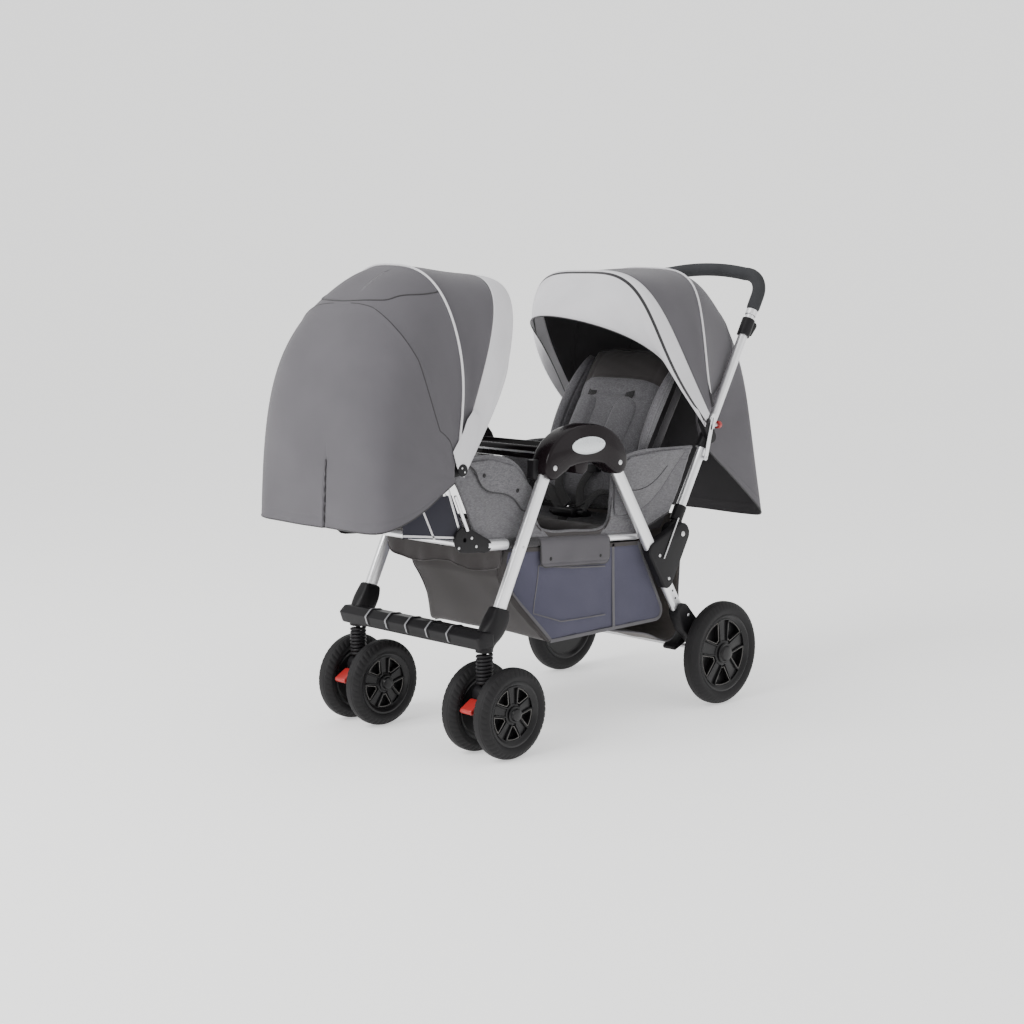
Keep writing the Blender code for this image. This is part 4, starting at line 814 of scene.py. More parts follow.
# the light ear at each foot of the front visor laps over the dark cover
for side, word in bothSides:
    y = side * 0.2092
    outline = [(-0.4240, 0.597), (-0.4401, 0.589), (-0.4509, 0.606), (-0.4615, 0.6384), (-0.4342, 0.6762),
               (-0.4232, 0.6994), (-0.4060, 0.7180), (-0.3900, 0.7020), (-0.4030, 0.6500)]
    ear = slab(f"front_visor_ear_{word}", outline, y, y + side * 0.0016, "front_hood", visorCloth, 0.0005)
    slab(f"front_hood_foot_{word}", ring(frontFoot, 0.0125), side * 0.2086, side * 0.2125,
         "front_hood", blackPlastic, 0.0012)

# Rigid frame pieces that keep their CAD shape with softened edges

print("stage: frame")
# each row is (nodes, surface, width of the softened edges); a * stands for left and right
dressing = [
    ("hub_*", hubPlastic, 0.0012), ("center_tray", hubPlastic, 0.0010),
    ("rear_leg_* front_leg_*", silverMetal, 0.0009), ("mid_joint_* rear_bracket_*", blackPlastic, 0.0012),
    ("brake_bar", blackPlastic, 0.0010), ("caster_stem_* caster_fork_*", blackPlastic, 0.0009),
    ("handle_knuckle_*", blackPlastic, 0.0008), ("canopy_clamp_* trigger_*", blackPlastic, 0.0010),
    ("recline_plate_*", blackPlastic, 0.0008), ("safety_latch", silverMetal, 0.0004),
    ("rear_axle", steelMetal, 0.0006),
]
for stems, surface, edge in dressing:
    for stem in stems.split():
        for word in ("left", "right") if "*" in stem else ("",):
            dressNode(stem.replace("*", word), surface, edge)

# Tubes, rods and small fittings


def capsule(a, ra, b, rb, steps=14):
    # outline of two circles and the two lines that touch both
    a, b = np.array(a, float), np.array(b, float)
    base = math.atan2(b[1] - a[1], b[0] - a[0])
    spread = math.acos((ra - rb) / np.linalg.norm(b - a))
    first = np.linspace(base + spread, base + 2 * math.pi - spread, steps)
    last = np.linspace(base - spread, base + spread, steps)
    return ([(a[0] + ra * math.cos(t), a[1] + ra * math.sin(t)) for t in first]
            + [(b[0] + rb * math.cos(t), b[1] + rb * math.sin(t)) for t in last])


def inPlane(pivot, angle, flat):
    # (distance up the sloping line, width) turned into points of the stroller
    flat = np.array(flat, float)
    return np.stack([pivot[0] + flat[:, 0] * math.cos(angle), flat[:, 1],
                     pivot[1] + flat[:, 0] * math.sin(angle)], 1)


def addRod(name, start, end, profile, body, surface, sides=28):
    # a straight turned piece: profile gives (distance, radius) from start towards end
    start, end = np.array(start, float), np.array(end, float)
    profile = np.array(profile, float)
    ahead = (end - start) / np.linalg.norm(end - start)
    up = (0, 1, 0) if abs(ahead[1]) < 0.8 else (0, 0, 1)
    path = start + ahead * profile[:, :1]
    return addSweep(name, path, roundSection(1.0, sides), body, surface, up=up,
                    scale=profile[:, 1], angle=35)


def uShape(start, length, half, corner, count):
    flat = arcPath([(start, -half), (length, -half), (length, half), (start, half)], corner, 18)
    return evenly(flat, count)


print("stage: tubes")
handlePivot, handleAngle = carriage["handlePivot"], carriage["handleAngle"]
handleUp = (math.sin(handleAngle), 0, -math.cos(handleAngle))


handleShape = {"corner": 0.060, "bow": 0.012, "points": 200}


def handleLine(start):
    # straight sides, round corners, and a top bar bowed by bow x (1 - (y / reach)^2)
    length, half, corner = carriage["handleLength"], carriage["handleY"], handleShape["corner"]
    flat = uShape(start, length, half, corner, handleShape["points"])
    reach = half - corner
    top = flat[:, 0] > length - 0.001
    flat[:, 0] += handleShape["bow"] * np.clip(1 - (flat[:, 1] / reach) ** 2, 0, 1) * top
    return inPlane(handlePivot, handleAngle, flat)


handleTube = addSweep("handle_tube_round", handleLine(0.036), roundSection(0.011, 28), "handle",
                      silverMetal, up=handleUp)
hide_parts("handle_tube")
gripPath = handleLine(0.575)
fromStart = np.arange(handleShape["points"])
gripScale = 1 - 0.14 * np.exp(-np.minimum(fromStart, fromStart[::-1]) / 1.2)
grip = addSweep("handle_grip_foam", gripPath, roundSection(0.0155, 32), "handle", gripFoam,
                up=handleUp, scale=gripScale)
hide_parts("handle_grip")
for side, word in bothSides:
    y = side * carriage["handleY"]
    start, end = onHandle(0.560), onHandle(0.575)
    addRod(f"grip_ring_{word}", (start[0], y, start[1]), (end[0], y, end[1]),
           [(0, 0.0112), (0.0, 0.0128), (0.001, 0.0136), (0.0135, 0.0136), (0.0145, 0.0128),
            (0.0148, 0.0112)], "handle", silverMetal)

# footrest: a rounded wedge with five ridges across it, and a socket under each front leg
footrest = {"half": 0.2235, "ridges": 5, "spacing": 0.064, "rise": 0.0032, "middle": (-0.382, 0.247)}
wedge = evenly(arcPath([(-0.382, 0.2285), (-0.3590, 0.2285), (-0.3590, 0.2640), (-0.3900, 0.2662),
                        (-0.4055, 0.2530), (-0.3965, 0.2285), (-0.382, 0.2285)], 0.0032, 4), 61)[:-1]
rowY = np.linspace(-footrest["half"], footrest["half"], 421)
near = np.abs(rowY[:, None] - footrest["spacing"] * (np.arange(footrest["ridges"]) - 2)[None, :]).min(1)
ridge = footrest["rise"] * np.exp(-(near / 0.0042) ** 4)
inward = wedge - footrest["middle"]
onTop = ramped(wedge[:, 1] - 0.234, 0.004) * ramped(-0.362 - wedge[:, 0], 0.004)
reach = 1 + (ridge[:, None] / np.linalg.norm(inward, axis=1)) * onTop
tail = ramped(np.abs(rowY) - footrest["half"] + 0.010, 0.010)
reach = reach * (1 - 0.30 * (1 - np.sqrt(1 - 0.999 * tail ** 2)))[:, None]
flat = np.array(footrest["middle"]) + inward * reach[..., None]
barGrid = np.stack([flat[..., 0], np.repeat(rowY[:, None], 60, 1), flat[..., 1]], 2)
barFaces = [tuple(face) for face in gridQuads(421, 60, False, True)]
barFaces += [tuple(range(60))[::-1], tuple(420 * 60 + k for k in range(60))]
# the ridge crests take the pale plastic: painted highlight where each ridge catches the light
crest = (ridge[:-1, None] > 0.80 * footrest["rise"]) & (onTop[None, :] > 0.5)
barIndex = np.r_[crest.astype(int).ravel(), 0, 0]
bar = addMesh("footrest_bar", barGrid, barFaces, "front_legs", [blackPlastic, ridgeHighlightPlastic],
              faceSurface=barIndex)
sharpen(tidyMesh(bar), 38)
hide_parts("front_bumper")
turn = 2 * math.pi * np.arange(32) / 32
for side, word in bothSides:
    path = smoothLine([(-0.3275, side * 0.203, 0.306), (-0.3350, side * 0.203, 0.287),
                       (-0.3560, side * 0.2015, 0.256), (-0.3670, side * 0.200, 0.236),
                       (-0.3680, side * 0.200, 0.2210)], 40)
    share = np.linspace(0, 1, 40)[:, None]
    power = 2 / (5.0 - 3.0 * np.clip(share * 1.4, 0, 1))
    swollen = np.sin(math.pi * np.clip(share * 1.05, 0, 1)) ** 0.8
    mouth = np.exp(-share / 0.012)
    wide = 0.0198 - 0.0014 * share + 0.0060 * swollen - 0.0030 * mouth
    deep = 0.0132 + 0.0052 * share + 0.0060 * swollen - 0.0020 * mouth
    section = np.stack([wide * signedPower(np.cos(turn), power),
                        deep * signedPower(np.sin(turn), power)], 2)
    addSweep(f"leg_socket_{word}", path, section, "front_legs", blackPlastic, angle=50)

backs = {
    "front": {"pivot": (-0.412, 0.455), "angle": math.radians(110), "length": 0.375, "half": 0.174,
              "facing": 1, "pad": (0.035, 0.379, 0.154), "body": "front_back"},
    "rear": {"pivot": (0.104, 0.4058), "angle": math.radians(58), "length": 0.460, "half": 0.150,
             "facing": -1, "pad": (0.050, 0.464, 0.130), "body": "rear_back"},
}
for key, back in backs.items():
    flat = uShape(0.0, back["length"], back["half"], 0.055, 160)
    angle = back["angle"]
    tube = addSweep(f"{key}_back_tube", inPlane(back["pivot"], angle, flat), roundSection(0.008, 22),
                    back["body"], silverMetal if key == "front" else bindingCloth,
                    up=(math.sin(angle), 0, -math.cos(angle)))
    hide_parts(f"{key}_back_frame")
    for side, word in bothSides:
        inner, outer = side * (back["half"] - 0.009), side * (0.1843 if key == "front" else 0.160)
        slab(f"{key}_back_foot_{word}", ring(back["pivot"], 0.0115, 28), inner, outer, back["body"],
             blackPlastic, 0.0015)
        if key == "front":
            root = alongLine(back["pivot"], angle, 0.149)
            slab(f"front_back_lug_{word}", capsule(root, 0.012, frontFoot, 0.013),
                 side * 0.176, side * 0.2001, back["body"], blackPlastic, 0.002)

# the seat ring: a rectangle with 30 mm round corners, on the sloping rail line
ringSpots = []
for sx, sy, turn in ((-1, -1, 180), (1, -1, 270), (1, 1, 0), (-1, 1, 90)):
    edge = carriage["railFront"][0] + 0.030 if sx < 0 else carriage["railRear"][0] - 0.030
    angle = np.radians(np.linspace(turn, turn + 90, 13))
    ringSpots.append(np.stack([edge + 0.030 * np.cos(angle), sy * 0.146 + 0.030 * np.sin(angle)], 1))
ringSpots = np.concatenate(ringSpots)
ringPath = np.stack([ringSpots[:, 0], ringSpots[:, 1], railZ(ringSpots[:, 0])], 1)
seatTube = addSweep("seat_ring_tube", ringPath, roundSection(0.008, 22), "seat", silverMetal,
                    up=(0, 0, 1), closed=True)
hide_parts("seat_frame_tube")
for side, word in bothSides:
    a, b = (-0.345, side * 0.1785, railZ(-0.345)), (-0.284, side * 0.1785, railZ(-0.284))
    addRod(f"rail_sleeve_{word}", a, b, [(0, 0.0095), (0, 0.0122), (0.054, 0.0122), (0.0590, 0.0116),
                                        (0.0610, 0.0090)], "seat", silverMetal)
    # cloth wrapped round the rail on both sides of the sleeve
    for tag, first, last in (("front", -0.336, -0.344), ("middle", -0.286, -0.192)):
        spots = [(x, side * 0.176, railZ(x)) for x in np.linspace(first, last, 24)]
        if tag == "front":
            inRing = (ringPath[:, 0] < -0.3415) & (ringPath[:, 1] * side > -0.004)
            spots = sorted(ringPath[inRing].tolist(),
                           key=lambda spot: (-abs(spot[1]) - (spot[0] + 0.372) * 3))
            spots = evenly(np.array(spots), 60)
        addSweep(f"rail_wrap_{tag}_{word}", spots, roundSection(0.0101, 20), "seat", bindingCloth,
                 up=(0, 0, 1))
    addRod(f"front_back_strut_{word}", (-0.4070, side * 0.1925, 0.474), (-0.4410, side * 0.1925, 0.548),
           [(0, 0.0028), (0, 0.0036), (0.080, 0.0036), (0.0812, 0.0024)], "front_back", silverMetal, 14)

# Rivets, badge, the tray's painted highlight strip, rods

badge = {"centre": (-0.0865, 0.6268), "half": (0.0485, 0.0160), "face": 0.227}
# each row is (name, side-view spot, distance from the middle, radius, height, body, surface)
rivets = [
    ("hub_rivet_front", carriage["frontPivot"], 0.2268, 0.0058, 0.0022, "frame", steelMetal),
    ("hub_rivet_rear", carriage["rearPivot"], 0.2268, 0.0058, 0.0022, "frame", steelMetal),
    ("knuckle_rivet", carriage["handlePivot"], 0.2155, 0.0062, 0.0024, "frame", steelMetal),
    ("joint_rivet", (0.1634, 0.3612), 0.2155, 0.0040, 0.0018, "frame", steelMetal),
    ("joint_rivet_low", (0.196, 0.305), 0.2155, 0.0040, 0.0018, "frame", steelMetal),
    ("bracket_rivet", (0.258, 0.214), 0.222, 0.0042, 0.0018, "frame", steelMetal),
    # the two leg holes are flush black discs: painted shade for the dark inside of each hole
    ("leg_hole_0", (0.2143, 0.2745), 0.2110, 0.0027, 0.0004, "frame", blackPlastic),
    ("leg_hole_1", (0.2240, 0.2560), 0.2110, 0.0027, 0.0004, "frame", blackPlastic),
    ("front_leg_rivet", (-0.2655, 0.4268), 0.2110, 0.0033, 0.0014, "front_legs", steelMetal),
    ("plate_rivet_0", (-0.4283, 0.4400), 0.1898, 0.0032, 0.0014, "seat", steelMetal),
    ("plate_rivet_1", (-0.3925, 0.4570), 0.1898, 0.0032, 0.0014, "seat", steelMetal),
    ("plate_rivet_2", (-0.3800, 0.4385), 0.1898, 0.0032, 0.0014, "seat", steelMetal),
    ("hood_foot_rivet_0", (-0.4395, 0.6045), 0.2125, 0.0021, 0.0010, "front_hood", steelMetal),
    ("hood_foot_rivet_1", (-0.4325, 0.5960), 0.2125, 0.0021, 0.0010, "front_hood", steelMetal),
    ("clamp_rivet", rearFoot, 0.2052, 0.0050, 0.0016, "handle", blackPlastic),
]


def oval(extra):
    # points of the badge's oval, this much wider and higher than it
    angle = 2 * math.pi * np.arange(96) / 96
    return np.stack([badge["centre"][k] + (badge["half"][k] + extra[k]) * wave(angle)
                     for k, wave in enumerate((np.cos, np.sin))], 1)


for side, word in bothSides:
    face = side * badge["face"]
    slab(f"hub_badge_{word}", oval((0, 0)).tolist(), face - side * 0.0006, face + side * 0.0016,
         "frame", badgeMetal, 0.0009, 3)
    rimPath = np.insert(oval((0.0010, 0.0012)), 1, face + side * 0.0008, 1)
    addSweep(f"hub_badge_rim_{word}", rimPath, roundSection(0.0014, 10), "frame", badgeMetal, closed=True)
    slab(f"hub_mount_{word}", [(-0.226, 0.603), (-0.186, 0.606), (-0.184, 0.562), (-0.206, 0.557),
                              (-0.227, 0.565)], side * 0.181, side * 0.201, "frame", blackPlastic, 0.003)
    slab(f"hub_lug_{word}", [(-0.124, 0.598), (-0.078, 0.598), (-0.084, 0.572), (-0.097, 0.566),
                            (-0.118, 0.570)], side * 0.190, side * 0.222, "frame", hubPlastic, 0.003)
    addRod(f"release_rod_{word}", (0.2245, side * 0.2177, 0.441), (0.1745, side * 0.2177, 0.352),
           [(0, 0.0008), (0.001, 0.0017), (0.100, 0.0017), (0.1012, 0.0008)], "frame", steelMetal, 12)
    for tag, spot, y, radius, height, body, surface in rivets:
        rivet(f"{tag}_{word}", spot, side * y, side, radius, height, body, surface)
rivet("latch_rivet", onHandle(0.190), -0.2025, -1, 0.0042, 0.0016, "latch", steelMetal)
addLathe("release_button", [(0.0, -0.002), (0.0085, -0.002), (0.0085, 0.006), (0.0074, 0.0082),
                            (0.0048, 0.0092), (0.0, 0.0096)], (0.3980, -0.1860, 0.6385), "handle",
         redPlastic, 32, "x")
addRod("button_stalk", (0.378, -0.186, 0.6385), (0.398, -0.186, 0.6385),
       [(0, 0.0040), (0, 0.0045), (0.0195, 0.0045), (0.020, 0.0040)], "handle", steelMetal, 16)
# a silver strip along the tray's front rim: painted highlight where the rim catches the light
slab("tray_highlight_strip", [(-0.1341, 0.6045), (-0.1330, 0.6045), (-0.1330, 0.6085), (-0.1341, 0.6085)],
     -0.172, 0.172, "frame", silverMetal, 0.0002)

# lock levers: broad rounded paddles between the front wheels
for side, word in bothSides:
    paddle = slab(f"lock_paddle_{word}", capsule((-0.3915, 0.116), 0.0085, (-0.4170, 0.1045), 0.0060, 18),
                  side * 0.200 - 0.0170, side * 0.200 + 0.0170, f"lever_{word}", redPlastic, 0.0035, 4)
    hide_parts(f"lock_lever_{word}")

# Wheels

print("stage: wheels")
wheels = {"front": {"radius": 0.095, "rim": 0.067, "blocks": 44, "slits": 0.0018},
          "rear": {"radius": 0.119, "rim": 0.088, "blocks": 60, "slits": 0.0006},
          "width": 0.040, "spokes": 5, "axleX": 0.341, "rearY": 0.249, "twin": 0.047}


def joinArrays(parts):
    points, faces, start = [], [], 0
    for part in parts:
        points.append(np.array(part[0]))
        faces.extend([tuple(int(k) + start for k in face) for face in part[1]])
        start += len(part[0])
    return np.concatenate(points), faces


def tyreArrays(radius, rimRadius, width, blocks, depth):
    # tread radius falls off with the 3.2th power of the distance from the middle; slanted slits
    # cut the shoulders, and a fine groove runs round each side of the crown
    t = np.linspace(-1, 1, 29)
    tread = np.stack([radius - 0.0135 * np.abs(t) ** 3.2, width / 2 * t], 1)
    tread[:, 0] -= 0.0008 * bell(np.abs(t) - 0.36, 0.035)
    share = np.linspace(0, 1, 9)[1:]
    wall = np.stack([radius - 0.0135 - (radius - 0.0138 - rimRadius) * share,
                     width * (0.5 - 0.14 * share ** 1.6) + 0.0012 * np.sin(math.pi * share)], 1)
    profile = np.concatenate([wall[::-1] * (1, -1), tread, wall])
    at = np.concatenate([np.full(8, -1.3), t, np.full(8, 1.3)])

    def slits(angle, index):
        spot = at[index]
        phase = (angle * blocks / (2 * math.pi) + spot * 0.9) % 1.0
        pulse = ramped(0.20 - np.abs(phase - 0.5), 0.08)
        zone = ramped(np.abs(spot) - 0.50, 0.10) * ramped(1.05 - np.abs(spot), 0.08)
        return -depth * pulse * zone

    return lathe(profile, (0, 0, 0), blocks * 7, "y", slits)


def rimArrays(rimRadius, width, outward):
    # a lipped ring, a turned hub with a cap on its outer side, and twin-ribbed spokes
    lip = [(rimRadius + step, share * width) for step, share in (
        (0.0, 0.36), (0.0012, 0.395), (-0.0025, 0.415), (-0.0060, 0.37), (-0.0085, 0.27),
        (-0.0115, 0.235))]
    ringProfile = [(r, -y) for r, y in lip] + [(r, y) for r, y in lip[::-1]]
    parts = [lathe(ringProfile, (0, 0, 0), 96)]
    hub = rimRadius * 0.27
    face = width / 2 - 0.0012
    cap = [(hub * share, face + step) for share, step in (
        (0.0, 0.0056), (0.42, 0.0052), (0.66, 0.0038), (0.74, 0.0008), (0.78, -0.0008), (0.90, -0.0008),
        (1, -0.0030), (1, -0.0075), (1.22, -0.0090), (1.26, -0.0110))] + [(hub * 1.26, 0.0)]
    plain = [(hub * 1.26, -face + 0.0100), (hub, -face + 0.0060), (hub, -face + 0.0020),
             (hub * 0.9, -face), (hub * 0.45, -face), (0.0, -face)]
    hubProfile = [(r, y * outward) for r, y in cap + plain]
    parts.append(lathe(hubProfile, (0, 0, 0), 48))
    for k in range(wheels["spokes"]):
        turn = 2 * math.pi * k / wheels["spokes"] + math.pi / 2
        out = np.array((math.cos(turn), 0, math.sin(turn)))
        side = np.array((-math.sin(turn), 0, math.cos(turn)))
        share = np.linspace(0, 1, 9)
        radius = hub * 1.1 + (rimRadius - 0.0105 - hub * 1.1) * share
        level = outward * (0.0030 - 0.0020 * share)
        path = out * radius[:, None] + np.stack([0 * level, level, 0 * level], 1)
        half = rimRadius * (0.150 + 0.055 * share + 0.050 * np.clip(share - 0.8, 0, 1) / 0.2)
        section = np.stack([boxSection(2 * h, 0.011 - 0.003 * s, 0.0016) for h, s in zip(half, share)])
        parts.append(sweep(path, section))
        for step in (-1, 1):
            ribPath = path + side * (step * (half - 0.0016))[:, None]
            parts.append(sweep(ribPath, boxSection(0.0026, 0.0185, 0.0009)))
    disc = [(hub, -outward * 0.0065), (rimRadius - 0.010, -outward * 0.0065),
            (rimRadius - 0.010, -outward * 0.0085), (hub, -outward * 0.0085)]
    parts.append(lathe(disc, (0, 0, 0), 64))
    plainFaces = sum(len(part[1]) for part in parts)
    for k in range(wheels["spokes"]):
        # a thin bright line inside each window between two spokes: a painted highlight where the window's
        # inner edge catches the light
        turn = 2 * math.pi * (k + 0.5) / wheels["spokes"] + math.pi / 2
        low, high = hub * 1.45, rimRadius - 0.0135
        half = [math.pi / wheels["spokes"] - math.asin((rimRadius * (0.150 + 0.055 * share) + 0.0022) / r)
                for r, share in ((low, 0.1), (high, 0.8))]
        arc = turn + np.linspace(-half[1], half[1], 15)
        corner = turn + np.linspace(max(half[0], 0.05), -max(half[0], 0.05), 5)
        loop = [(high * math.cos(t), high * math.sin(t)) for t in arc]
        loop += [(low * math.cos(t), low * math.sin(t)) for t in corner]
        loop = evenly(loop + loop[:1], 61)[:-1]
        path = np.stack([loop[:, 0], np.full(60, outward * 0.0085), loop[:, 1]], 1)
        parts.append(sweep(path, roundSection(0.0008, 6), closed=True))
    points, faces = joinArrays(parts)
    return points, faces, (np.arange(len(faces)) >= plainFaces).astype(int)


def addWheel(prefix, suffix, centre, outward, body):
    size, width = wheels[prefix], wheels["width"]
    points, faces = tyreArrays(size["radius"], size["rim"], width, size["blocks"], size["slits"])
    tyre = addMesh(f"{prefix}_tyre_{suffix}_tread", points + centre, faces, body, tyreRubber)
    sharpen(tidyMesh(tyre), 48)
    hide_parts(f"{prefix}_tyre_{suffix}")
    points, faces, bright = rimArrays(size["rim"], width, outward)
    rim = addMesh(f"{prefix}_rim_{suffix}_spokes", points + centre, faces, body,
                  [rimPlastic, windowHighlightPlastic], faceSurface=bright)
    sharpen(tidyMesh(rim), 35)
    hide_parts(f"{prefix}_rim_{suffix}")


springSize = {"turns": 8, "wire": 0.0036, "coil": 0.0146, "low": 0.1503, "high": 0.2194}
for side, word in bothSides:
    centre = np.array((wheels["axleX"], side * wheels["rearY"], wheels["rear"]["radius"]))
    addWheel("rear", word, centre, side, f"rear_wheel_{word}")
    for place, step in (("outer", 1), ("inner", -1)):
        centre = np.array((-wheels["axleX"], side * (carriage["casterY"] + step * wheels["twin"]),
                           wheels["front"]["radius"]))
        addWheel("front", f"{word}_{place}", centre, side * step, f"wheel_{word}_{place}")
    # the spring is a helix between the fork and the collar
    t = np.linspace(0, 1, springSize["turns"] * 26 + 1)
    turn = 2 * math.pi * springSize["turns"] * t
    wire, coil, middle = springSize["wire"], springSize["coil"], side * carriage["casterY"]
    low, high = springSize["low"] + wire, springSize["high"] - wire
    path = np.stack([carriage["casterX"] + coil * np.cos(turn), middle + coil * np.sin(turn),
                     low + (high - low) * t], 1)
    spring = addSweep(f"caster_spring_{word}_coil", path, roundSection(wire, 10), f"fork_{word}",
                      blackPlastic, up=(0, 0, 1))
    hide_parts(f"caster_spring_{word}")
    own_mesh(spring)

# Seats

print("stage: seats")


def rimIndex(rows, columns):
    # the border points of a grid, once round
    return np.concatenate([np.arange(columns), np.arange(1, rows) * columns + columns - 1,
                           (rows - 1) * columns + np.arange(columns - 2, -1, -1),
                           np.arange(rows - 2, 0, -1) * columns])


def addPillow(name, front, back, body, surfaces, secondRows=(0, 0), uv=None):
    # two grids joined all round; some rows of the front one take the second surface
    rows, columns = front.shape[:2]
    count, quads, rim = rows * columns, gridQuads(rows, columns), rimIndex(rows, columns)
    after = np.roll(rim, -1)
    sides = np.stack([after, rim, rim + count, after + count], 1)
    faces = np.concatenate([quads, quads[:, ::-1] + count, sides])
    index = np.zeros(len(faces), int)
    index[secondRows[0] * (columns - 1):secondRows[1] * (columns - 1)] = 1
    points = np.concatenate([front.reshape(-1, 3), back.reshape(-1, 3)])
    return tidyMesh(addMesh(name, points, faces, body, surfaces, uv, index))


padding = {"under": 0.0083, "least": 0.0135, "crown": 0.0265}


def backFrame(back):
    # directions up the backrest and out of its face
    ux, uz = math.cos(back["angle"]), math.sin(back["angle"])
    return ux, uz, back["facing"] * uz, -back["facing"] * ux


def padGrids(back):
    # a crowned pad on the backrest: its depth is least + crown (1 - |s|^4)(1 - |t|^6)
    start, end, half = back["pad"]
    ux, uz, nx, nz = backFrame(back)
    t = np.linspace(-1, 1, 71)[:, None]
    s = np.linspace(-1, 1, 49)[None, :]
    y = half * s * (1 - 0.10 * np.abs(t) ** 7) * (1 - 0.035 * (1 - t ** 2))
    run = (start + end) / 2 + (end - start) / 2 * t * (1 - 0.05 * np.abs(s) ** 7)
    dome = (1 - np.abs(s) ** 4) * (1 - np.abs(t) ** 6)
    depth = padding["least"] + padding["crown"] * dome
    if back["facing"] < 0:
        depth = depth - 0.010 * ramped(t - 0.52, 0.05) * (1 - np.abs(s) ** 4)
    face = padding["under"] + np.maximum(depth, 0.007)
    under = 0.0080 + 0 * depth

    def grid(height):
        return np.stack([back["pivot"][0] + ux * run + nx * height, y + 0 * run,
                         back["pivot"][1] + uz * run + nz * height], 2)

    return grid(face), grid(under)


def swell(piece, cap):
    # cloth pressure rounds the pad out; no point moves further than the cap
    rest = np.array([v.co for v in piece.data.vertices])
    cloth = piece.modifiers.new("stuffing", "CLOTH")
    cloth.settings.use_pressure = True
    cloth.settings.uniform_pressure_force = 4.0
    cloth.settings.effector_weights.gravity = 0.0
    cloth.settings.tension_stiffness = 12
    cloth.settings.bending_stiffness = 2.0
    cloth.point_cache.frame_start, cloth.point_cache.frame_end = 1, 20
    for number in range(1, 21):
        scene.frame_set(number)
    graph = bpy.context.evaluated_depsgraph_get()
    moved = np.array([v.co for v in piece.evaluated_get(graph).data.vertices])
    piece.modifiers.clear()
    scene.frame_set(1)
    step = moved - rest
    reach = np.linalg.norm(step, axis=1)
    step *= np.minimum(1, cap / np.maximum(reach, 1e-9))[:, None]
    piece.data.vertices.foreach_set("co", (rest + step).ravel())
    piece.data.update()


def sewChannels(piece, back, channels):
    # presses seams across and down the pad's face into the swollen cloth
    start, end, half = back["pad"]
    ux, uz, nx, nz = backFrame(back)
    points = np.array([v.co for v in piece.data.vertices])
    dx, dz = points[:, 0] - centring - back["pivot"][0], points[:, 2] - back["pivot"][1]
    run, height = dx * ux + dz * uz, dx * nx + dz * nz
    t = (run - (start + end) / 2) / ((end - start) / 2)
    s = points[:, 1] / half
    front = ramped(height - 0.012, 0.010) * (1 - np.abs(s) ** 6)
    press = sum(0.0060 * bell(t - spot, 0.030) for spot in channels)
    press = press + 0.0040 * bell(np.abs(s) - 0.74, 0.035) * (1 - t ** 4)
    press = press + 0.0008 * np.sin(run * 210 + points[:, 1] * 60) * np.sin(points[:, 1] * 130)
    points[:, 0] -= nx * press * front
    points[:, 2] -= nz * press * front
    piece.data.vertices.foreach_set("co", points.ravel())
    piece.data.update()


for key, back in backs.items():
    face, under = padGrids(back)
    # the rear pad's headrest, above its top seam, is plain taupe
    pad = addPillow(f"{key}_back_cushion", face, under, back["body"], [padCloth, taupeCloth],
                    (54, 70) if key == "rear" else (0, 0))
    swell(pad, 0.006)
    sewChannels(pad, back, (-0.34, 0.34))
    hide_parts(f"{key}_back_pad")
    rim = rimIndex(*face.shape[:2])
    rimLine = evenly(face.reshape(-1, 3)[np.r_[rim, rim[:1]]], 260)[:-1]
    nx, nz = backFrame(back)[2:]
    addSweep(f"{key}_back_piping", rimLine - np.array((nx, 0, nz)) * 0.003, roundSection(0.0022, 8),
             back["body"], bindingCloth, up=(nx, 0, nz), closed=True)


def onPad(back, s, t, lift):
    # a point over the pad's face, s across in metres, t up the backrest in metres
    start, end, half = back["pad"]
    ux, uz, nx, nz = backFrame(back)
    s, t, lift = np.broadcast_arrays(*(np.array(value, float) for value in (s, t, lift)))
    share = (t - (start + end) / 2) / ((end - start) / 2)
    dome = (1 - np.clip(np.abs(s / half), 0, 1) ** 4) * (1 - np.clip(np.abs(share), 0, 1) ** 6)
    height = padding["under"] + padding["least"] + padding["crown"] * dome + lift
    return np.stack([back["pivot"][0] + ux * t + nx * height, s,
                     back["pivot"][1] + uz * t + nz * height], -1)


def strap(name, points, normal, width, body):
    addSweep(name, smoothLine(points, 60), boxSection(width, 0.0018, 0.0006, 2), body, webbingCloth,
             up=normal)


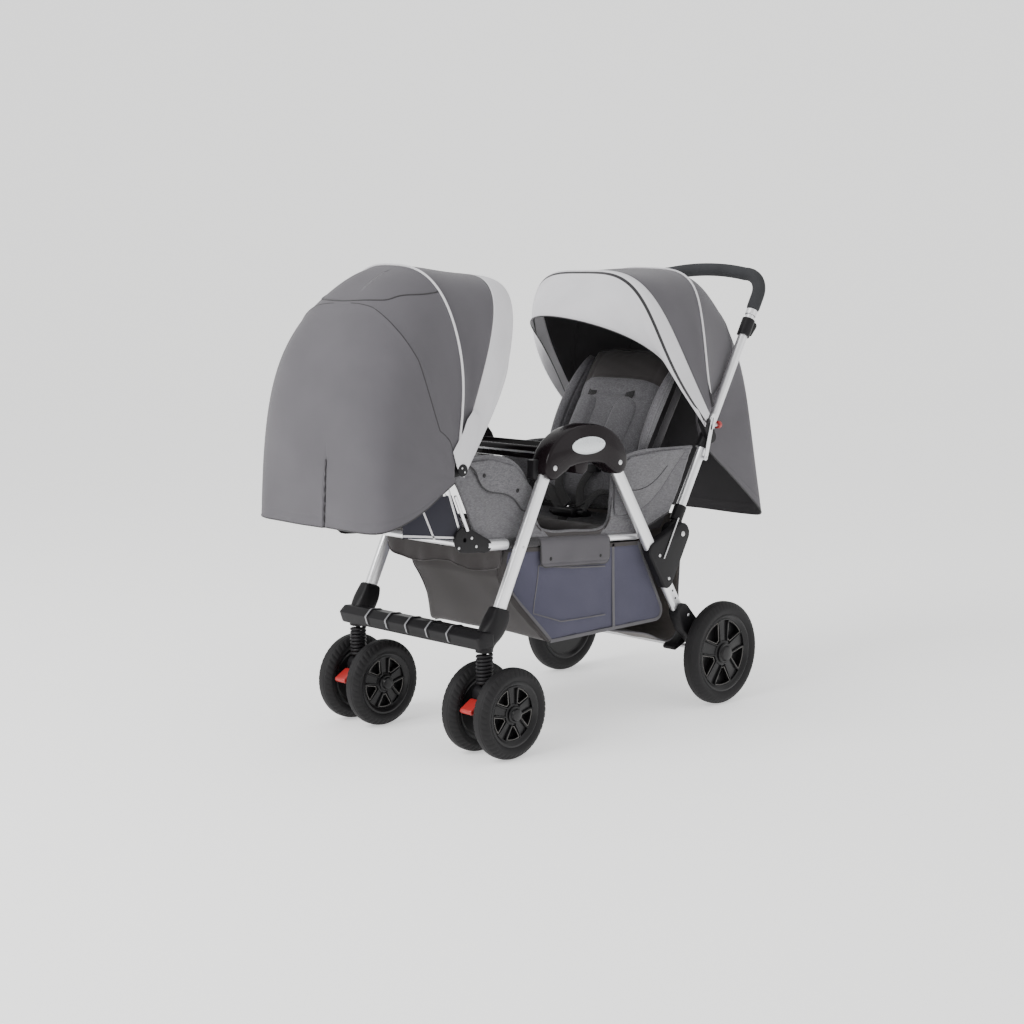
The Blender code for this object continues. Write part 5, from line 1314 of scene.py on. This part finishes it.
def addHarness(key, back):
    # two shoulder pads, straps through them to a buckle, waist straps and a crotch strap
    nx, nz = backFrame(back)[2:]
    facing, normal = back["facing"], (nx, 0, nz)
    start, end = back["pad"][:2]
    top = start + (end - start) * 0.65
    low = top - 0.150
    lapX = back["pivot"][0] + facing * 0.054 + (0.030 if key == "front" else 0.0)
    lapX, lapY = (lapX, 0.0) if key == "front" else (lapX + 0.012, -0.035)
    lap = (lapX, lapY, railZ(lapX) + 0.043)
    for side, word in nearAndFar:
        x = side * 0.058
        u, v = np.meshgrid(np.linspace(-1, 1, 17), np.linspace(-1, 1, 41))
        across = 0.0330 * (1 - 0.12 * v ** 2) * u
        rounded = np.sqrt(np.clip(1 - np.abs(v) ** 8, 0, 1))
        ridge = (1 - np.abs(u) ** 3.0) * rounded
        stitch = 0.0022 * bell(np.abs(u) - 0.80, 0.06)
        run = (top + low) / 2 + (top - low) / 2 * v
        outerFace = onPad(back, x + across * rounded, run, 0.004 + 0.0165 * ridge - stitch)
        innerFace = onPad(back, x + across * rounded, run, 0.0008)
        pad = addPillow(f"{key}_shoulder_pad_{word}", outerFace, innerFace, back["body"], padCloth)
        high = [onPad(back, x, top + reach, 0.0030) for reach in (-0.004, 0.012, 0.024)]
        strap(f"{key}_shoulder_strap_top_{word}", high, normal, 0.024, back["body"])
        below = [onPad(back, x, low + 0.006, 0.006), onPad(back, x * 0.86, low - 0.035, 0.012),
                 onPad(back, x * 0.60, low - 0.085, 0.020)]
        below.append(np.array((lap[0] - facing * 0.012, lapY + side * 0.020, lap[2] + 0.016)))
        strap(f"{key}_shoulder_strap_{word}", below, normal, 0.022, back["body"])
        outline = [(below[1][0] + dx, below[1][2] + dz)
                   for dx, dz in ((-0.012, -0.010), (0.012, -0.010), (0.012, 0.006), (-0.012, 0.006))]
        slab(f"{key}_slider_{word}", outline, x * 0.9 - 0.015, x * 0.9 + 0.015, back["body"],
             blackPlastic, 0.002)
        waist = [onPad(back, side * 0.128, start + 0.040, 0.002),
                 onPad(back, side * 0.085, start + 0.030, 0.010),
                 np.array((lap[0] - facing * 0.002, lapY + side * 0.030, lap[2] + 0.001))]
        strap(f"{key}_waist_strap_{word}", waist, (facing * 0.6, 0, 0.8), 0.024, "seat")
    crotch = [(lap[0] + facing * 0.030, lapY, railZ(lap[0]) + 0.018),
              (lap[0] + facing * 0.024, lapY, railZ(lap[0]) + 0.034),
              (lap[0] + facing * 0.008, lapY, lap[2])]
    strap(f"{key}_crotch_strap", crotch, (facing, 0, 0.3), 0.028, "seat")
    # buckle: a rounded shell with two prong arms and a press button
    shell = capsule((lap[0] - 0.020, lap[2] + 0.002), 0.0100, (lap[0] + 0.020, lap[2] - 0.001), 0.0095)
    slab(f"{key}_buckle_shell", shell, lapY - 0.032, lapY + 0.032, "seat", blackPlastic, 0.0045, 3)
    arm = capsule((lap[0] - 0.010, lap[2] + 0.001), 0.0065, (lap[0] + 0.010, lap[2]), 0.0065)
    for side, word in nearAndFar:
        slab(f"{key}_buckle_arm_{word}", arm, lapY + side * 0.0325, lapY + side * 0.052, "seat",
             blackPlastic, 0.0020)
    press = [(0.0, 0.004), (0.0100, 0.004), (0.0100, 0.0112), (0.0090, 0.0122), (0.0, 0.0118)]
    addLathe(f"{key}_buckle_button", press, lap, "seat", rimPlastic, 32, "z")


for key, back in backs.items():
    addHarness(key, back)

# wings: a padded side on each edge of the rear backrest, swept forward by up to 46 mm
back = backs["rear"]
p, q = np.meshgrid(np.linspace(0, 1, 49), np.linspace(0, 1, 21), indexing="ij")
reach = 0.046 * np.sin(math.pi * np.clip(0.06 + 0.90 * p, 0, 1)) ** 0.55
run = 0.165 + 0.275 * p
for side, word in nearAndFar:
    plump = 0.0085 * (1 - np.abs(2 * q - 1) ** 4) * (1 - np.abs(2 * p - 1) ** 6)
    plump = plump - 0.002 * bell(q - 0.62, 0.05)
    grids = []
    for face in (1, -1):
        y = side * (0.131 + 0.010 * q ** 1.4) - side * face * (0.001 + plump)
        flatBase = onPad(back, 0.0 * y + side * 0.129, run, -0.014)
        nx, nz = backFrame(back)[2:]
        grids.append(np.stack([flatBase[..., 0] + nx * reach * q, y,
                               flatBase[..., 2] + nz * reach * q], 2))
    wing = addPillow(f"rear_back_wing_{word}", *grids, "rear_back", padCloth)

# gussets: cloth that closes the gap between the seat and the foot of each backrest
gussets = {"rear": ([(0.076, 0.422), (0.102, 0.423), (0.120, 0.430), (0.131, 0.446)], 0.124),
           "front": ([(-0.345, 0.452), (-0.380, 0.460), (-0.408, 0.470), (-0.424, 0.492)], 0.150)}
for key, (line, half) in gussets.items():
    path = smoothLine([(x, 0.0, z) for x, z in line], 40)
    gusset = addSweep(f"{key}_gusset", path, boxSection(2 * half, 0.004, 0.0015, 2), "seat", seatCloth,
                      up=(0, 0, 1))

# seat pads and footwell in one length, plumped by (1 - |s|^5), with quilted seams
floorZ = railZ(-0.08) - 0.088
corners = [(-0.372 + 0.020, railZ(-0.372) + 0.012), (-0.156, railZ(-0.150) + 0.012), (-0.138, floorZ),
           (-0.016, floorZ), (0.002, railZ(-0.004) + 0.012), (0.094, railZ(0.094) + 0.012)]
linerLine = evenly(arcPath(corners, 0.022, 10), 141)
linerStep = np.gradient(linerLine, axis=0)
linerStep /= np.linalg.norm(linerStep, axis=1)[:, None]
linerNormal = np.stack([-linerStep[:, 1], linerStep[:, 0]], 1)
linerRun = runLength(linerLine)
onSeat = ramped(linerLine[:, 1] - floorZ - 0.050, 0.030)[:, None]
s = np.linspace(-1, 1, 61)[None, :]
ends = 1 - np.abs(np.linspace(-1, 1, 141))[:, None] ** 14
plump = 0.0035 + (0.0035 + 0.0075 * onSeat) * (1 - np.abs(s) ** 5) * ends
quilt = 0.0032 * bell((linerRun[:, None] % 0.075) - 0.0375, 0.0035)
quilt = quilt * (1 - np.abs(s) ** 8) * ends
quilt = quilt + 0.0022 * bell(np.abs(s) - 0.80, 0.025) * ends
wrinkles = 0.0007 * np.sin(linerRun[:, None] * 160 + s * 9) * np.sin(s * 13) * ends
linerY = np.repeat(0.1677 * s, 141, 0)


def linerGrid(height):
    return np.stack([linerLine[:, :1] + height * linerNormal[:, :1], linerY,
                     linerLine[:, 1:] + height * linerNormal[:, 1:]], 2)


liner = addPillow("seat_liner_quilt", linerGrid(plump - quilt + wrinkles), linerGrid(-plump * 0.9),
                  "seat", taupeCloth, uv=np.concatenate([clothUv(linerGrid(0 * plump))] * 2))
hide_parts("seat_liner")
for side, word in bothSides:
    edge = linerGrid(plump)[:, 1 if side < 0 else -2] + np.array((0, 0, 0.0004))
    addSweep(f"seat_liner_piping_{word}", evenly(edge, 200), roundSection(0.0016, 8), "seat",
             pipingCloth, up=(0, 1, 0))

# side guards: padded cloth from the rail up to a rolled edge, dipping under the hub
handleAt = handlePivot[0] + (0.592 - handlePivot[1]) / math.tan(handleAngle) - 0.034
guardTop = smoothLine([(-0.432, 0.585), (-0.395, 0.613), (-0.330, 0.617), (-0.262, 0.600),
                       (-0.224, 0.560), (-0.208, 0.505), (-0.190, 0.460), (-0.160, 0.4460),
                       (-0.080, 0.4385), (-0.005, 0.4330),
                       (0.026, 0.4420), (0.040, 0.480), (0.045, 0.530), (0.062, 0.570), (0.100, 0.588),
                       (0.200, 0.594), (handleAt, 0.592)], 161)
footX = np.linspace(-0.366, 0.2405, 161)
footZ = railZ(np.minimum(footX, 0.136)) + 0.0083
climb = np.clip((footX - 0.146 + 0.02) / (0.2405 - 0.146 + 0.02), 0, 1)
footZ = footZ + climb * (0.452 - footZ[-1])
flapEdges = {
    "front": [(-0.398, 0.606), (-0.376, 0.592), (-0.362, 0.566), (-0.338, 0.547), (-0.305, 0.540),
              (-0.272, 0.529), (-0.252, 0.512), (-0.236, 0.497), (-0.214, 0.502), (-0.205, 0.528)],
    "rear": [(0.047, 0.548), (0.049, 0.500), (0.053, 0.462), (0.090, 0.458), (0.156, 0.474),
             (0.205, 0.507), (0.245, 0.545), (0.285, 0.582)],
}
flapTops = {"front": [(-0.212, 0.545), (-0.262, 0.592), (-0.330, 0.611), (-0.392, 0.609)],
            "rear": [(0.278, 0.590), (0.200, 0.590), (0.104, 0.584), (0.062, 0.566)]}


def guardFlap(name, key, count, face, radius, surface):
    # a flap on the left guard, with a binding 1 mm inside its face along the lower edge
    edge, top = smoothLine(flapEdges[key], count), evenly(flapTops[key], 30)
    flap = slab(name, edge.tolist() + top.tolist(), -0.1793, face, "seat", padCloth, 0.0008)
    bind = addSweep(name + "_binding", np.insert(edge, 1, face + 0.0010, 1), roundSection(radius, 8),
                    "seat", surface)
    return [flap, bind]


for side, word in bothSides:
    rise = np.linspace(0, 1, 25)[:, None]
    x = footX + (guardTop[:, 0] - footX) * rise
    z = footZ + (guardTop[:, 1] - footZ) * rise
    puff = 0.0022 * np.sin(math.pi * rise) ** 0.7 - 0.0018 * bell(rise - 0.86, 0.03)
    puff = puff + 0.0012 * np.sin(x * 38 + z * 21) * np.sin(math.pi * rise)
    puff = puff - 0.0030 * bell(x - 0.155 - (z - 0.50) * 0.8, 0.007) * np.sin(math.pi * rise)
    grid = np.stack([x, side * (0.1768 + puff), z], 2)
    middle = (guardTop[:-1, 0] > -0.196) & (guardTop[:-1, 0] < 0.036)
    guard = addSheet(f"side_guard_{word}_cloth", grid, "seat", [padCloth, taupeCloth], 0.0045,
                     faceSurface=np.tile(middle.astype(int), 24), flip=side > 0)
    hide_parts(f"side_guard_{word}")
    roll = grid[-1] - (0, side * 0.0024, 0)
    edge = addSweep(f"side_guard_{word}_edge", roll, roundSection(0.0036, 12), "seat", padCloth)
    base = addSweep(f"side_guard_{word}_base", grid[0] - (0, side * 0.0016, 0),
                    boxSection(0.0016, 0.0100, 0.0006, 2)[:, ::-1], "seat", bindingCloth)
    extras = [edge, base]
    if side < 0:
        extras += guardFlap("guard_flap", "front", 50, -0.1822, 0.0020, bindingCloth)
        extras += guardFlap("guard_flap_rear", "rear", 60, -0.1824, 0.0018, trimCloth)
        inside = [(0.062, 0.520), (0.110, 0.510), (0.170, 0.520), (0.225, 0.556)]
        seam = addSweep("guard_flap_rear_seam", smoothLine([(x, -0.1823, z) for x, z in inside], 50),
                        roundSection(0.0012, 8, 0.7), "seat", bindingCloth, up=(0, 1, 0))
        extras.append(seam)
        for k, spot in enumerate(((-0.350, 0.580), (-0.254, 0.541))):
            extras.append(rivet(f"guard_snap_{k}", spot, -0.1822, -1, 0.0046, 0.0020, "seat",
                                rimPlastic))
    lower = [(0.100, 0.412), (0.225, 0.412), (0.256, 0.452), (0.305, 0.580), (0.180, 0.580),
             (0.115, 0.470)]
    extras.append(slab(f"guard_lining_{word}", lower, side * 0.1600, side * 0.1620, "seat",
                       liningCloth, 0.0005))

# Basket

print("stage: basket")
drop = 0.0098
basketCorners = [(-0.285, railZ(-0.285) - drop), (-0.262, 0.352), (-0.168, 0.208), (0.222, 0.208),
                 (0.126, railZ(0.126) - drop)]
band = evenly(arcPath(basketCorners, 0.020, 6), 141)
halfWidth = 0.1806
s = np.linspace(-1, 1, 61)
bandRun = runLength(band)
bandStep = np.gradient(band, axis=0)
bandStep /= np.linalg.norm(bandStep, axis=1)[:, None]
bandOut = np.stack([bandStep[:, 1], -bandStep[:, 0]], 1)
bandShare = bandRun / bandRun[-1]


def tuckedIn(z):
    # how far the front edges are drawn inwards, most of it half way down
    return 0.051 * np.sin(math.pi * ramped(0.43 - z, 0.222) ** 0.85) ** 1.1


def wallY(x, z):
    front = np.interp(z, (0.208, 0.352, 0.430), (-0.168, -0.262, -0.285))
    rear = np.interp(z, (0.208, 0.400), (0.222, 0.126))
    across = np.clip((x - front) / (rear - front), 0, 1)
    return halfWidth - tuckedIn(z) * (1 - across) ** 10


bandHalf = np.where(bandShare < 0.31, halfWidth - tuckedIn(band[:, 1]), halfWidth)[:, None]
swayAmount = (0.0035 * (1 - s[None, :] ** 4) * np.sin(math.pi * bandShare)[:, None] ** 0.5
              + 0.0012 * np.sin(s[None, :] * 5 + bandRun[:, None] * 11) * (1 - s[None, :] ** 6))
bandGrid = np.stack([band[:, :1] - bandOut[:, :1] * swayAmount, bandHalf * s[None, :],
                     band[:, 1:] - bandOut[:, 1:] * swayAmount], 2)
bandPiece = addSheet("basket_band", bandGrid, "frame", taupeCloth, 0.0016)
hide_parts("basket")
split = int(np.argmin(np.linalg.norm(band - np.array((0.03, 0.208)), axis=1)))
leftEdge, rightEdge = evenly(band[:split + 1], 31), evenly(band[split:][::-1], 31)
for side, word in bothSides:
    t = np.linspace(0, 1, 61)[None, :, None]
    flat = leftEdge[:, None] * (1 - t) + rightEdge[:, None] * t
    downShare = np.linspace(0, 1, 31)[:, None]
    across = np.linspace(0, 1, 61)[None, :]
    belly = 0.0022 * np.sin(math.pi * downShare) * np.sin(math.pi * across) ** 0.6
    belly = belly + 0.0007 * np.sin(across * 23 + downShare * 5) * np.sin(math.pi * downShare)
    dip = 0.0035 * np.abs(np.sin(math.pi * 4 * across)) * (1 - downShare) ** 4
    grid = np.stack([flat[..., 0], side * (wallY(flat[..., 0], flat[..., 1]) + 0.0003 - belly),
                     flat[..., 1] - dip], 2)
    wall = addSheet(f"basket_side_{word}", grid, "frame", [basketMesh, taupeCloth], 0.0012, 1.0,
                    faceSurface=np.tile((np.arange(60) < 2).astype(int), 30), flip=side < 0)
    y = side * (halfWidth + 0.0018)
    for tag, line, width in (
            ("rim", np.stack([band[44:, 0], np.full(97, y), band[44:, 1]], 1), 0.0075),
            ("front", [(-0.250, y, 0.4200), (-0.250, y, 0.3470), (-0.153, y, 0.2110)], 0.0070),
            ("top", [(-0.283, y, railZ(-0.283) - 0.014), (-0.08, y, railZ(-0.08) - 0.016),
                     (0.124, y, railZ(0.124) - 0.014)], 0.0090),
            ("middle", [(0.043, y, railZ(0.043) - 0.012), (0.0445, y, 0.30), (0.047, y, 0.211)], 0.0080),
            ("pocket", [(-0.187, y, 0.3749), (-0.187, y, 0.270), (-0.120, y, 0.246), (0.0185, y, 0.2426)],
             0.0026),
            ("pocket_lip", [(-0.187, y, 0.3749), (-0.09, y, 0.3600), (0.0175, y, 0.3508)], 0.0034)):
        path = evenly(np.array(line), 141)
        inset = 0.0 if tag == "rim" else halfWidth - wallY(path[:, 0], path[:, 2])
        path[:, 1] -= side * inset
        trim = addSweep(f"basket_{tag}_{word}", path, boxSection(width, 0.0012, 0.0004, 2), "frame",
                        trimCloth if tag != "top" else taupeCloth, up=(0, side, 0))

# flap with two snaps, which folds from the seat over each side of the basket
for side, word in bothSides:
    u = np.linspace(-1, 1, 49)[None, :]
    v = np.linspace(0, 1, 25)[:, None]
    rounding = 0.014 * (1 - np.sqrt(np.clip(1 - ramped(v - 0.75, 0.25) ** 2, 0, 1)))
    x = -0.082 + (0.108 - rounding) * u
    top = railZ(x) + 0.0085
    z = top - 0.062 * v
    out = 0.1860 + 0.0012 * np.sin(u * 7 + v * 3) * v - 0.002 * bell(v - 0.88, 0.03)
    out = out - 0.010 * np.exp(-v / 0.06)
    grid = np.stack([x + 0 * v, side * (out + 0 * u), z], 2)
    flap = addSheet(f"snap_flap_{word}", grid, "seat", coverCloth, 0.0022, 1.0, flip=side < 0)
    hem = np.concatenate([grid[2:, 0], grid[-1, 1:-1], grid[2:, -1][::-1]])
    bind = addSweep(f"snap_flap_binding_{word}", evenly(hem, 120) + (0, side * 0.001, 0),
                    roundSection(0.0017, 8), "seat", bindingCloth, up=(0, side, 0))
    snaps = [rivet(f"snap_{k}_{word}", (spot, railZ(spot) - 0.036), side * 0.1880, side, 0.0044,
                   0.0018, "seat", rimPlastic) for k, spot in enumerate((-0.160, -0.004))]

# apron rolled over the top of the basket's front panel, with snaps
u = np.linspace(-1, 1, 81)[None, :]
roll = smoothLine([(-0.272, 0.421), (-0.2735, 0.432), (-0.281, 0.4400), (-0.2905, 0.4395),
                   (-0.2970, 0.431), (-0.2990, 0.416), (-0.2985, 0.398), (-0.2955, 0.379)], 41)
v = np.linspace(0, 1, 41)[:, None]
loose = ramped(v - 0.45, 0.55)
rounding = 0.020 * (1 - np.sqrt(np.clip(1 - np.abs(u) ** 14, 0, 1)))
wave = 0.0030 * np.sin(u * 10 + v * 2.2) * loose + 0.0016 * np.sin(u * 23 - v * 3) * loose
scallop = (0.0050 * np.cos(u * 6.2) - 0.004) * loose
grid = np.stack([roll[:, :1] + wave + 0 * u, 0.1795 * u + 0 * v,
                 roll[:, 1:] + scallop + rounding * loose], 2)
apron = addSheet("basket_apron", grid, "frame", taupeCloth, 0.0018)
apronBind = addSweep("basket_apron_binding", evenly(grid[-1], 120), roundSection(0.0019, 8), "frame",
                     taupeCloth, up=(0, 0, 1))
snaps = [addLathe(f"apron_snap_{k}", domeProfile(0.0048, 0.002, -1), (-0.2998, spot, 0.414),
                  "frame", rimPlastic, 24, "x") for k, spot in enumerate((-0.128, 0.0, 0.128))]

# outer taupe sling: from the basket's floor back to the axle, then up behind the rear legs to
# straps on the mid joints
slingLine = [(0.020, 0.2060), (0.110, 0.1880), (0.200, 0.1660), (0.266, 0.1500), (0.281, 0.1630),
             (0.286, 0.2400), (0.288, 0.3000), (0.290, 0.3600), (0.2905, 0.4380)]
slingLine = evenly(smoothLine(slingLine, 200), 121)
v = np.linspace(0, 1, 121)[:, None]
u = np.linspace(-1, 1, 49)[None, :]
sway = 0.0030 * (1 - u ** 4) * np.sin(math.pi * v) + 0.0014 * np.sin(u * 9 + v * 13)
grid = np.stack([slingLine[:, :1] - sway * (v > 0.55), (0.170 - 0.004 * np.sin(math.pi * v) ** 2) * u,
                 slingLine[:, 1:] - sway * (v <= 0.55)], 2)
# the sling takes the taupe painted lighter: painted light for the shade it hangs in
sling = addSheet("basket_sling", grid, "frame", slingPaintedLightCloth, 0.0016)
slingBind = [addSweep(f"basket_sling_edge_{k}", evenly(grid[:, k], 160), roundSection(0.0017, 8),
                      "frame", trimCloth) for k in (0, 48)]
for side, word in bothSides:
    line = evenly([(0.2895, side * 0.160, 0.426), (0.222, side * 0.203, 0.400)], 24)
    slingBind.append(addSweep(f"basket_sling_strap_{word}", line, boxSection(0.012, 0.0015, 0.0004, 2),
                              "frame", webbingCloth, up=(0.634, side * 0.773, 0)))

# striped wedge of cloth between the front backrest and the seat rail
for side, word in bothSides:
    wedge = [(-0.570, 0.545), (-0.440, 0.548), (-0.407, 0.474), (-0.404, 0.452), (-0.570, 0.474)]
    piece = slab(f"back_wedge_{word}", wedge, side * 0.1800, side * 0.1815, "front_back", basketMesh,
                 0.0004)
    for k, ends in enumerate((((-0.528, 0.544), (-0.488, 0.463)), ((-0.570, 0.4790), (-0.405, 0.4575)))):
        line = evenly([(x, side * 0.1822, z) for x, z in ends], 24)
        addSweep(f"back_wedge_stripe_{k}_{word}", line,
                                boxSection(0.0045, 0.0010, 0.0003, 2), "front_back", pipingCloth,
                                up=(0, side, 0))

# Floor, light and camera

print("stage: studio")
studio = {"floor": (0.885, 0.885, 0.875), "world": 0.95, "glow": 0.62, "key": 228.0, "fill": 22.0,
          "top": 8.0}
# the photo's camera: degrees, metres to the target, and focal length in pixels of 1024
photoView = {"azimuth": -44.891, "elevation": 7.752, "distance": 3.951, "target": (-0.089, 0.463),
             "focal": 1784.574, "sensor": 36}


def buildStudio():
    # a floor that curves up into a wall: its height grows with the square of the distance
    spread = np.linspace(-9, 9, 49)
    depth = np.linspace(-7, 13, 81)
    rise = np.clip(depth - 7.5, 0, None) ** 2 * 0.16
    turn = math.radians(photoView["azimuth"])
    x = spread[None, :] * math.cos(turn) - depth[:, None] * math.sin(turn)
    y = spread[None, :] * math.sin(turn) + depth[:, None] * math.cos(turn)
    points = np.stack([x, y, np.repeat(rise[:, None], 49, 1)], 2)
    made, tree, shader = startMaterial("studio floor", studio["floor"], 0.75, specular=0.2)
    slow = noise(tree, placeOn(tree, False), 0.6, 3.0)
    tone = ramp(tree, slow, [(0.3, shade(studio["floor"], 0.985)), (0.7, studio["floor"])])
    tree.links.new(tone, shader.inputs["Base Color"])
    shader.inputs["Emission Color"].default_value = (1.0, 1.0, 1.0, 1)
    shader.inputs["Emission Strength"].default_value = studio["glow"]
    mesh = bpy.data.meshes.new("studio_floor")
    mesh.from_pydata(points.reshape(-1, 3).tolist(), [], gridQuads(81, 49).tolist())
    mesh.materials.append(made)
    mesh.shade_smooth()
    addObject("studio_floor", mesh)
    world = bpy.data.worlds.new("studio")
    scene.world = world
    world.use_nodes = True
    world.node_tree.nodes["Background"].inputs[0].default_value = (1.0, 1.0, 1.0, 1)
    world.node_tree.nodes["Background"].inputs[1].default_value = studio["world"]


def addLamp(name, spot, target, size, power):
    lamp = bpy.data.lights.new(name, "AREA")
    lamp.shape = "RECTANGLE"
    lamp.size, lamp.size_y = size
    lamp.energy = power
    item = addObject(name, lamp)
    item.location = spot
    item.rotation_euler = (Vector(target) - Vector(spot)).to_track_quat("-Z", "Y").to_euler()


buildStudio()
addLamp("key", (-4.2, 0.6, 3.4), (0, 0, 0.5), (2.6, 2.6), studio["key"])
addLamp("fill", (2.2, -4.6, 2.4), (0, 0, 0.5), (3.0, 3.0), studio["fill"])
addLamp("top", (0.2, -0.4, 4.6), (0, 0, 0.4), (3.5, 3.5), studio["top"])

camera = bpy.data.cameras.new("camera")
camera.sensor_width = photoView["sensor"]
camera.lens = photoView["focal"] * photoView["sensor"] / 1024
view = addObject("camera", camera)
azimuth, elevation = math.radians(photoView["azimuth"]), math.radians(photoView["elevation"])
out = Vector((math.sin(azimuth) * math.cos(elevation), -math.cos(azimuth) * math.cos(elevation),
              math.sin(elevation)))
targetX, targetZ = photoView["target"]
view.location = Vector((targetX + centring, 0, targetZ)) + out * photoView["distance"]
view.rotation_euler = (-out).to_track_quat("-Z", "Y").to_euler()
scene.camera = view

print("stage: done")
